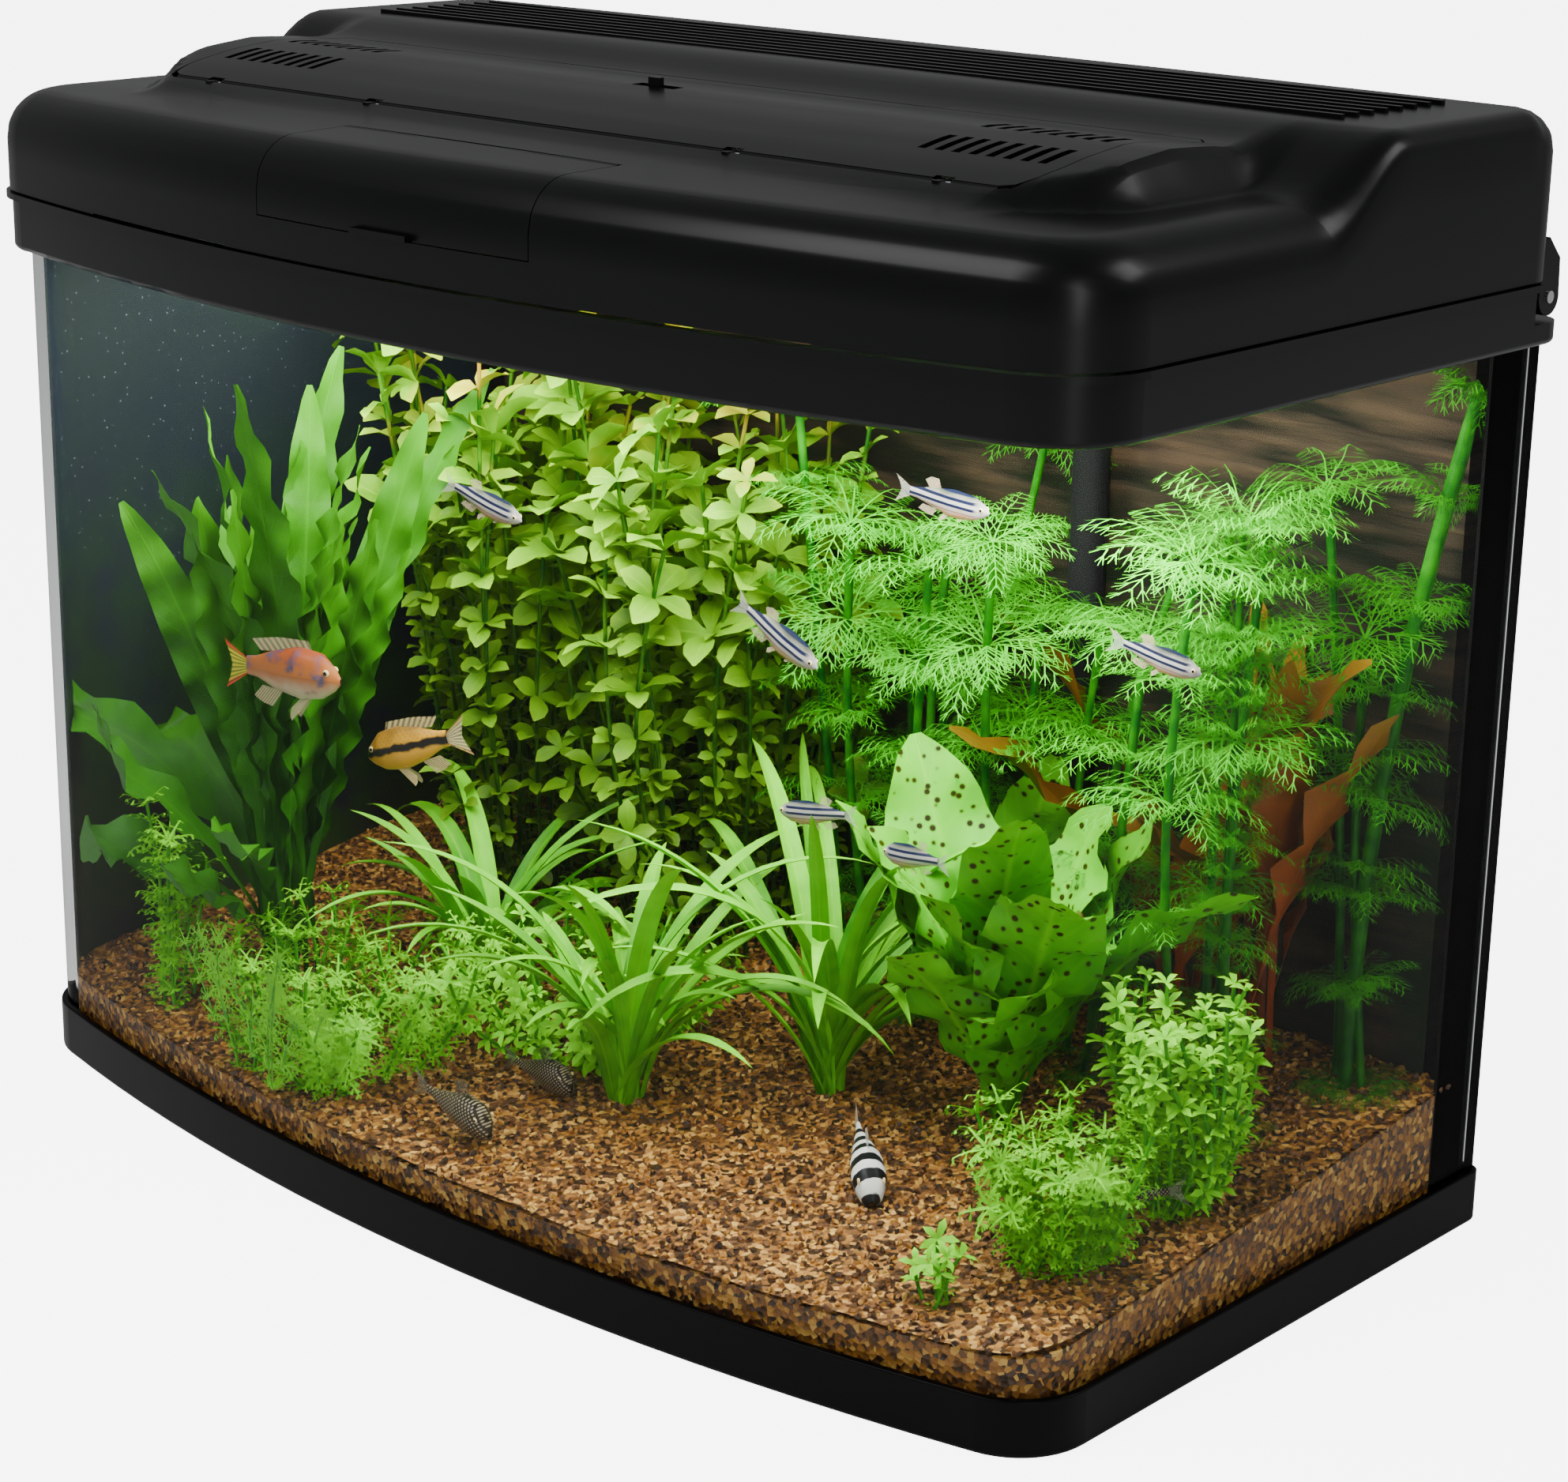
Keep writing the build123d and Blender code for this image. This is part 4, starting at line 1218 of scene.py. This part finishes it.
def lidHeight(x, y):
    # Outer height of the lid before its rim rolls over
    side = abs(x) / 0.3084
    deck = np.interp(y, [p[0] for p in deckLine], [p[1] for p in deckLine]) - lidPlan["crown"] * side * side
    raised = np.interp(y, [p[0] for p in bulgeLine], [p[1] for p in bulgeLine])
    ramp = bulgeEnd[1] - 0.030 * (1 - soften(y, -0.105, -0.045)) ** 2
    inside = 1 - soften(abs(x), ramp - 0.016, ramp)
    level = deck + (max(raised, deck) - deck) * inside * soften(y, -0.118, -0.096)
    rise = soften(y, lidPlan["ridgeFoot"] - 0.006 * (1 - inside), lidPlan["ridgeHead"])
    top = lidPlan["ridge"] - lidPlan["ridgeCrown"] * side * side
    return level + (top - level) * rise, rise


def rimDistance(x, y):
    # How far a place lies inside the lid's outline
    grow = lidPlan["grow"]
    bowRadius, centre, corner, cornerX, cornerY = bowCircles()
    ax = abs(x)
    nx, ny = cornerX, cornerY - centre
    px, py = ax - cornerX, y - cornerY
    if nx * py - ny * px > 0 and py < 0:
        near = corner + grow - math.hypot(px, py)
    else:
        near = min(tankHigh.x + grow - ax, bowRadius + grow - math.hypot(x, y - centre) if y < 0 else 9.0)
    rear = lidPlan["rearCorner"]
    qx, qy = ax - (tankHigh.x + grow - rear), y - (lidPlan["rear"] - rear)
    if qx > 0 and qy > 0:
        near = min(near, rear - math.hypot(qx, qy))
    return max(0.0, min(near, lidPlan["rear"] - y))


def lidSurface(inset):
    # The lid's closed form, moved inwards by inset
    front, half = tankPlan(lidPlan["grow"] - inset)
    rearY = lidPlan["rear"] - inset
    rear = lidPlan["rearCorner"] - inset
    spread = [math.sin(a) for a in np.linspace(-math.pi / 2, math.pi / 2, 57)]
    columns = sorted(set([round(s * half, 6) for s in spread]
                         + [sx * v for v in np.linspace(0.226, 0.276, 14) for sx in (-1, 1)]))
    rows = sorted(set([round(v, 5) for v in list(1 - np.cos(np.linspace(0, math.pi / 2, 12)))
                       + list(np.linspace(0, 1, 66))]))
    bag = newBag()
    grid = []
    for v in rows:
        line = []
        for x in columns:
            backY = rearY
            over = abs(x) - (half - rear)
            if over > 0:
                backY = rearY - rear + math.sqrt(max(rear * rear - over * over, 0.0))
            fy = front(x)
            y = fy + (backY - fy) * (v * 0.35 + 0.65 * (0.5 - 0.5 * math.cos(math.pi * v)))
            height, rise = lidHeight(x, y)
            roll = lidPlan["roll"] + (lidPlan["ridgeRoll"] - lidPlan["roll"]) * rise
            if y > lidPlan["ridgeHead"] and lidPlan["rear"] - y < 0.03:
                roll = max(roll, 0.016 * soften(y, 0.13, 0.15))
            roll = max(roll - inset, 0.002)
            d = min(max(rimDistance(x, y) - inset, 0.0), roll)
            drop = roll - math.sqrt(max(roll * roll - (roll - d) ** 2, 0.0))
            line.append((x, y, height - inset - drop))
        grid.append(line)
    addGrid(bag, grid, [[(0, 0)] * len(columns)] * len(rows), 0.5)
    wide, deep = len(columns), len(rows)
    loop = list(range(wide)) + [r * wide + wide - 1 for r in range(1, deep)]
    loop += [(deep - 1) * wide + c for c in range(wide - 2, -1, -1)]
    loop += [r * wide for r in range(deep - 2, 0, -1)]
    lowZ = lidPlan["low"] - (0.002 if inset else 0.0)
    previous = loop
    for step in (0.33, 0.66, 1.0):
        ring = []
        for index in loop:
            x, y, z = bag["verts"][index]
            ring.append(len(bag["verts"]))
            bag["verts"].append((x, y, z + (lowZ - z) * step))
            bag["uvs"].append((0, 0))
            bag["tones"].append(0.5)
        for k in range(len(loop)):
            n = (k + 1) % len(loop)
            bag["faces"].append((ring[k], ring[n], previous[n], previous[k]))
        previous = ring
    bag["faces"].append(tuple(reversed(previous)))
    obj = linkObject("lidForm", bagToMesh("lidForm", bag))
    weld = obj.modifiers.new("weld", "WELD")
    weld.merge_threshold = 0.00004
    applyAll(obj)
    return obj


def applyAll(obj):
    bpy.context.view_layer.update()
    mesh = bpy.data.meshes.new_from_object(obj.evaluated_get(bpy.context.evaluated_depsgraph_get()))
    obj.modifiers.clear()
    obj.data = mesh
    return obj


def carve(obj, other, operation, keepOther=False):
    step = obj.modifiers.new("carve", "BOOLEAN")
    step.operation = operation
    step.solver = "EXACT"
    step.object = other
    applyAll(obj)
    if not keepOther:
        bpy.data.objects.remove(other)
    return obj


def ringFaces(count, start=0):
    # Faces of a closed solid between two rings of count points
    faces = [tuple(range(count - 1, -1, -1)), tuple(range(count, 2 * count))]
    faces += [(i, (i + 1) % count, count + (i + 1) % count, count + i) for i in range(count)]
    return [tuple(start + i for i in face) for face in faces]


def solidFrom(name, verts, faces):
    mesh = bpy.data.meshes.new(name)
    mesh.from_pydata(verts, [], faces)
    return linkObject(name, mesh)


def solidPrism(outlinePoints, lowZ, highZ):
    # A solid from a plan drawn anticlockwise
    verts = [(x, y, z) for z in (lowZ, highZ) for x, y in outlinePoints]
    return solidFrom("prism", verts, ringFaces(len(outlinePoints)))


def solidBox(x0, x1, y0, y1, z0, z1):
    return solidPrism(((x0, y0), (x1, y0), (x1, y1), (x0, y1)), z0, z1)


def solidAlongX(x0, x1, profile):
    # A solid from a side view, between two places along X
    return solidFrom("bar", [(x, y, z) for x in (x0, x1) for y, z in profile], ringFaces(len(profile)))


def rodX(x0, x1, y, z, radius, sides=20):
    # A round bar along X
    turns = [2 * math.pi * k / sides for k in range(sides)]
    return solidAlongX(x0, x1, [(y + radius * math.cos(a), z + radius * math.sin(a)) for a in turns])


def coverOutline(grow):
    # Plan of the light cover, with gently waved ends
    right = [(0.2290, -0.0916), (0.2345, -0.0886), (0.2375, -0.080), (0.2388, -0.066), (0.2386, -0.048),
             (0.2376, -0.030), (0.2390, -0.012), (0.2430, 0.002), (0.2440, 0.0095), (0.2400, 0.0135),
             (0.2300, 0.0140)]
    centreY = -0.039
    points = [(x + grow, y + (grow if y > centreY else -grow)) for x, y in right]
    return points + [(-x, y) for x, y in reversed(points)]


def copyOf(obj, name):
    twin = obj.copy()
    twin.data = obj.data.copy()
    twin.name = name
    bpy.context.scene.collection.objects.link(twin)
    return twin


def finishPlastic(obj, node, body):
    obj.data.materials.clear()
    obj.data.materials.append(hoodPlastic)
    obj.data.polygons.foreach_set("material_index", [0] * len(obj.data.polygons))
    obj.data.polygons.foreach_set("use_smooth", [True] * len(obj.data.polygons))
    obj.data.set_sharp_from_angle(angle=math.radians(32))
    place(obj, node, body)


flapPlan = {"half": 0.077, "front": -0.2, "rear": -0.1275, "pinZ": 0.4535, "low": 0.424, "high": 0.48,
            "gap": 0.0005, "barrel": 0.0015, "lip": (-0.016, 0.016, -0.1798, -0.1738), "lipHigh": 0.0024}
coverPlan = {"frontY": -0.0916, "pinZ": 0.4582, "pinHalf": 0.2295, "barrel": 0.0014,
             "low": 0.451, "high": 0.482, "gap": 0.0005, "frontGap": 0.0025, "frontBand": -0.085,
             "hooks": (-0.204, -0.1015, 0.1015, 0.204), "notchHalf": 0.0045, "notchRadius": 0.003,
             "hookHalf": 0.0015, "hook": (-0.0961, -0.0904, 0.4568, 0.4595),
             "ventFirst": 0.172, "ventPitch": 0.008, "ventHalf": 0.002, "vents": 8,
             "ventRows": ((-0.066, -0.047), (-0.030, -0.014)), "ventLow": 0.452,
             "catch": (-0.012, 0.012, -0.031, -0.024)}
fingerSlots = {"x": (0.101, 0.203), "front": -0.2, "rear": -0.13, "low": 0.4074, "high": 0.4089}
lugPlan = {"x": (0.291, 0.303), "y": 0.167, "z": 0.400, "radius": 0.0075, "bore": 0.00255,
           "arm": ((0.1596, 0.400), (0.1744, 0.400), (0.1735, 0.415), (0.1645, 0.424), (0.1605, 0.422),
                   (0.1600, 0.408))}
ribPlan = {"count": 8, "first": 0.062, "pitch": 0.010, "half": 0.0012, "length": 0.270,
           "low": 0.4735, "high": 0.4767}


def ventSlots():
    # Vent slots on both sides, each a slim hole through the cover
    verts, faces = [], []
    h = coverPlan["ventHalf"]
    for side in (-1, 1):
        for y0, y1 in coverPlan["ventRows"]:
            for k in range(coverPlan["vents"]):
                x = side * (coverPlan["ventFirst"] + coverPlan["ventPitch"] * k)
                faces += ringFaces(4, len(verts))
                plan = ((x - h, y0), (x + h, y0), (x + h, y1), (x - h, y1))
                verts += [(px, py, z) for z in (coverPlan["ventLow"], coverPlan["high"]) for px, py in plan]
    return solidFrom("slots", verts, faces)


def cutFlap(shell):
    # Takes the flap from the lid's form and opens its place in the lid
    half, rear, low, gap = (flapPlan[key] for key in ("half", "rear", "low", "gap"))
    flap = copyOf(shell, "flapForm")
    carve(flap, solidBox(-half, half, flapPlan["front"], rear, low, flapPlan["high"]), "INTERSECT")
    carve(flap, rodX(-half, half, rear, flapPlan["pinZ"], flapPlan["barrel"]), "UNION")
    carve(flap, solidBox(*flapPlan["lip"], low, low + flapPlan["lipHigh"]), "UNION")
    return flap, solidBox(-half - gap, half + gap, flapPlan["front"], rear + flapPlan["barrel"] + gap,
                          low - gap, coverPlan["high"])


def cutCover(shell):
    # The same for the light cover, with more room along its hinge
    cover = copyOf(shell, "coverForm")
    carve(cover, solidPrism(coverOutline(0.0), coverPlan["low"], coverPlan["high"]), "INTERSECT")
    pin = rodX(-coverPlan["pinHalf"], coverPlan["pinHalf"], coverPlan["frontY"], coverPlan["pinZ"],
               coverPlan["barrel"])
    carve(cover, pin, "UNION")
    hole = [(x, y - coverPlan["frontGap"] if y < coverPlan["frontBand"] else y)
            for x, y in coverOutline(coverPlan["gap"])]
    return cover, solidPrism(hole, coverPlan["low"] - 0.0005, coverPlan["high"] + 0.002)


def addLugs(shell):
    # Finger slots at the front rim and hinge lugs at the rear, on both sides
    y, z = lugPlan["y"], lugPlan["z"]
    for side in (-1, 1):
        x0, x1 = sorted(side * x for x in fingerSlots["x"])
        carve(shell, solidBox(x0, x1, fingerSlots["front"], fingerSlots["rear"], fingerSlots["low"],
                              fingerSlots["high"]), "DIFFERENCE")
        x0, x1 = sorted(side * x for x in lugPlan["x"])
        carve(shell, solidAlongX(x0, x1, lugPlan["arm"]), "UNION")
        carve(shell, rodX(x0, x1, y, z, lugPlan["radius"], 28), "UNION")
        carve(shell, rodX(x0 - 0.001, x1 + 0.001, y, z, lugPlan["bore"], 24), "DIFFERENCE")


def makeLid():
    shell = lidSurface(0.0)
    carve(shell, lidSurface(lidPlan["wall"]), "DIFFERENCE")
    flap, flapHole = cutFlap(shell)
    cover, coverHole = cutCover(shell)
    for hole in (flapHole, coverHole):
        carve(shell, hole, "DIFFERENCE")
    addLugs(shell)
    for x in coverPlan["hooks"]:
        wide, slim = coverPlan["notchHalf"], coverPlan["hookHalf"]
        notch = rodX(x - wide, x + wide, coverPlan["frontY"], coverPlan["pinZ"], coverPlan["notchRadius"])
        carve(shell, notch, "DIFFERENCE", keepOther=True)
        carve(cover, notch, "DIFFERENCE")
        carve(shell, solidBox(x - slim, x + slim, *coverPlan["hook"]), "UNION")
    carve(cover, ventSlots(), "DIFFERENCE")
    carve(cover, solidBox(*coverPlan["catch"], coverPlan["ventLow"], coverPlan["high"]), "DIFFERENCE")
    ribs = []
    for k in range(ribPlan["count"]):
        y = ribPlan["first"] + ribPlan["pitch"] * k
        ribs.append(solidBox(-ribPlan["length"], ribPlan["length"], y - ribPlan["half"],
                             y + ribPlan["half"], ribPlan["low"], ribPlan["high"]))
    carve(shell, joinAll(ribs, "ribs"), "UNION")
    finishPlastic(shell, "hood_lid", "lid")
    finishPlastic(flap, "feeding_flap", "flap")
    finishPlastic(cover, "light_cover", "lamp_cover")
    shell.name, flap.name, cover.name = "hood_lid_form", "feeding_flap_form", "light_cover_form"


makeLid()
print("lid made")


cameraPlan = {"turn": 42.011, "pitch": 17.006, "roll": 0.9735, "place": (0.97999, -1.03292, 0.62615),
              "lens": 78.436, "film": 36, "shift": (0.0005, -0.0062)}


def aimCamera():
    data = bpy.data.cameras.new("camera")
    camera = bpy.data.objects.new("camera", data)
    bpy.context.scene.collection.objects.link(camera)
    turn, pitch, roll = (math.radians(cameraPlan[key]) for key in ("turn", "pitch", "roll"))
    back = Vector((math.sin(turn) * math.cos(pitch), -math.cos(turn) * math.cos(pitch), math.sin(pitch)))
    right = Vector((math.cos(turn), math.sin(turn), 0))
    up = back.cross(right)
    turnedRight = right * math.cos(roll) + up * math.sin(roll)
    turnedUp = -right * math.sin(roll) + up * math.cos(roll)
    axes = zip(turnedRight, turnedUp, back, cameraPlan["place"])
    camera.matrix_world = Matrix([*axes, (0, 0, 0, 1)])
    data.lens = cameraPlan["lens"]
    data.sensor_width = cameraPlan["film"]
    data.shift_x, data.shift_y = cameraPlan["shift"]
    bpy.context.scene.camera = camera


def softLight(name, spot, target, size, power, colour=(1, 1, 1), sizeY=None):
    data = bpy.data.lights.new(name, "AREA")
    data.energy = power
    data.color = colour
    data.size = size
    if sizeY:
        data.shape = "RECTANGLE"
        data.size_y = sizeY
    lamp = bpy.data.objects.new(name, data)
    bpy.context.scene.collection.objects.link(lamp)
    lamp.location = spot
    lamp.rotation_euler = (Vector(target) - Vector(spot)).to_track_quat("-Z", "Y").to_euler()
    return lamp


studioLook = {"backdrop": 9.0, "fill": 0.30, "floorGlow": 6.0}


def cameraOnly(tree, whenSeen, otherwise):
    # One strength for what the camera sees directly and another for all other light
    path = tree.nodes.new("ShaderNodeLightPath")
    blend = tree.nodes.new("ShaderNodeMapRange")
    blend.inputs["To Min"].default_value = otherwise
    blend.inputs["To Max"].default_value = whenSeen
    tree.links.new(path.outputs["Is Camera Ray"], blend.inputs["Value"])
    return blend.outputs["Result"]


def makeStudio():
    bpy.ops.mesh.primitive_plane_add(size=14, location=(0, 0, 0))
    floor = bpy.context.object
    floor.name = "floor"
    mat, tree, shader = baseMaterial("paleFloor", Base_Color=(0.93, 0.93, 0.93, 1), Roughness=0.8,
                                     Emission_Color=(1, 1, 1, 1))
    tree.links.new(cameraOnly(tree, studioLook["floorGlow"], 0.0), shader.inputs["Emission Strength"])
    assignMaterial(floor, mat)
    world = bpy.data.worlds.new("studio")
    world.use_nodes = True
    sky = world.node_tree.nodes["Background"]
    sky.inputs[0].default_value = (0.98, 0.99, 1.0, 1)
    strength = cameraOnly(world.node_tree, studioLook["backdrop"], studioLook["fill"])
    world.node_tree.links.new(strength, sky.inputs[1])
    bpy.context.scene.world = world
    softLight("keyLight", (-0.5, -1.7, 2.3), (0, 0, 0.2), 1.4, 46)
    softLight("stripLight", (1.9, -1.1, 0.9), (0.25, -0.1, 0.3), 0.3, 12, sizeY=1.6)
    softLight("sideLight", (1.4, 0.9, 1.6), (0.2, 0.1, 0.3), 0.8, 14)
    inner = softLight("hoodLamp", (0, -0.05, 0.385), (0, -0.04, 0), 0.54, 5.6, (1.0, 0.99, 0.90), 0.16)
    right = softLight("rightFill", (0.235, -0.06, 0.36), (0.25, 0.05, 0.05), 0.09, 1.3, (1.0, 1.0, 0.92), 0.2)
    front = softLight("frontFill", (0.1, -0.40, 0.34), (0.05, 0.05, 0.10), 0.55, 1.5, (1.0, 1.0, 0.93), 0.1)
    for lamp in (inner, right, front):  # these only light the plants and aren't seen themselves
        lamp.visible_camera = lamp.visible_glossy = lamp.visible_transmission = False


aimCamera()
makeStudio()
print("studio ready")
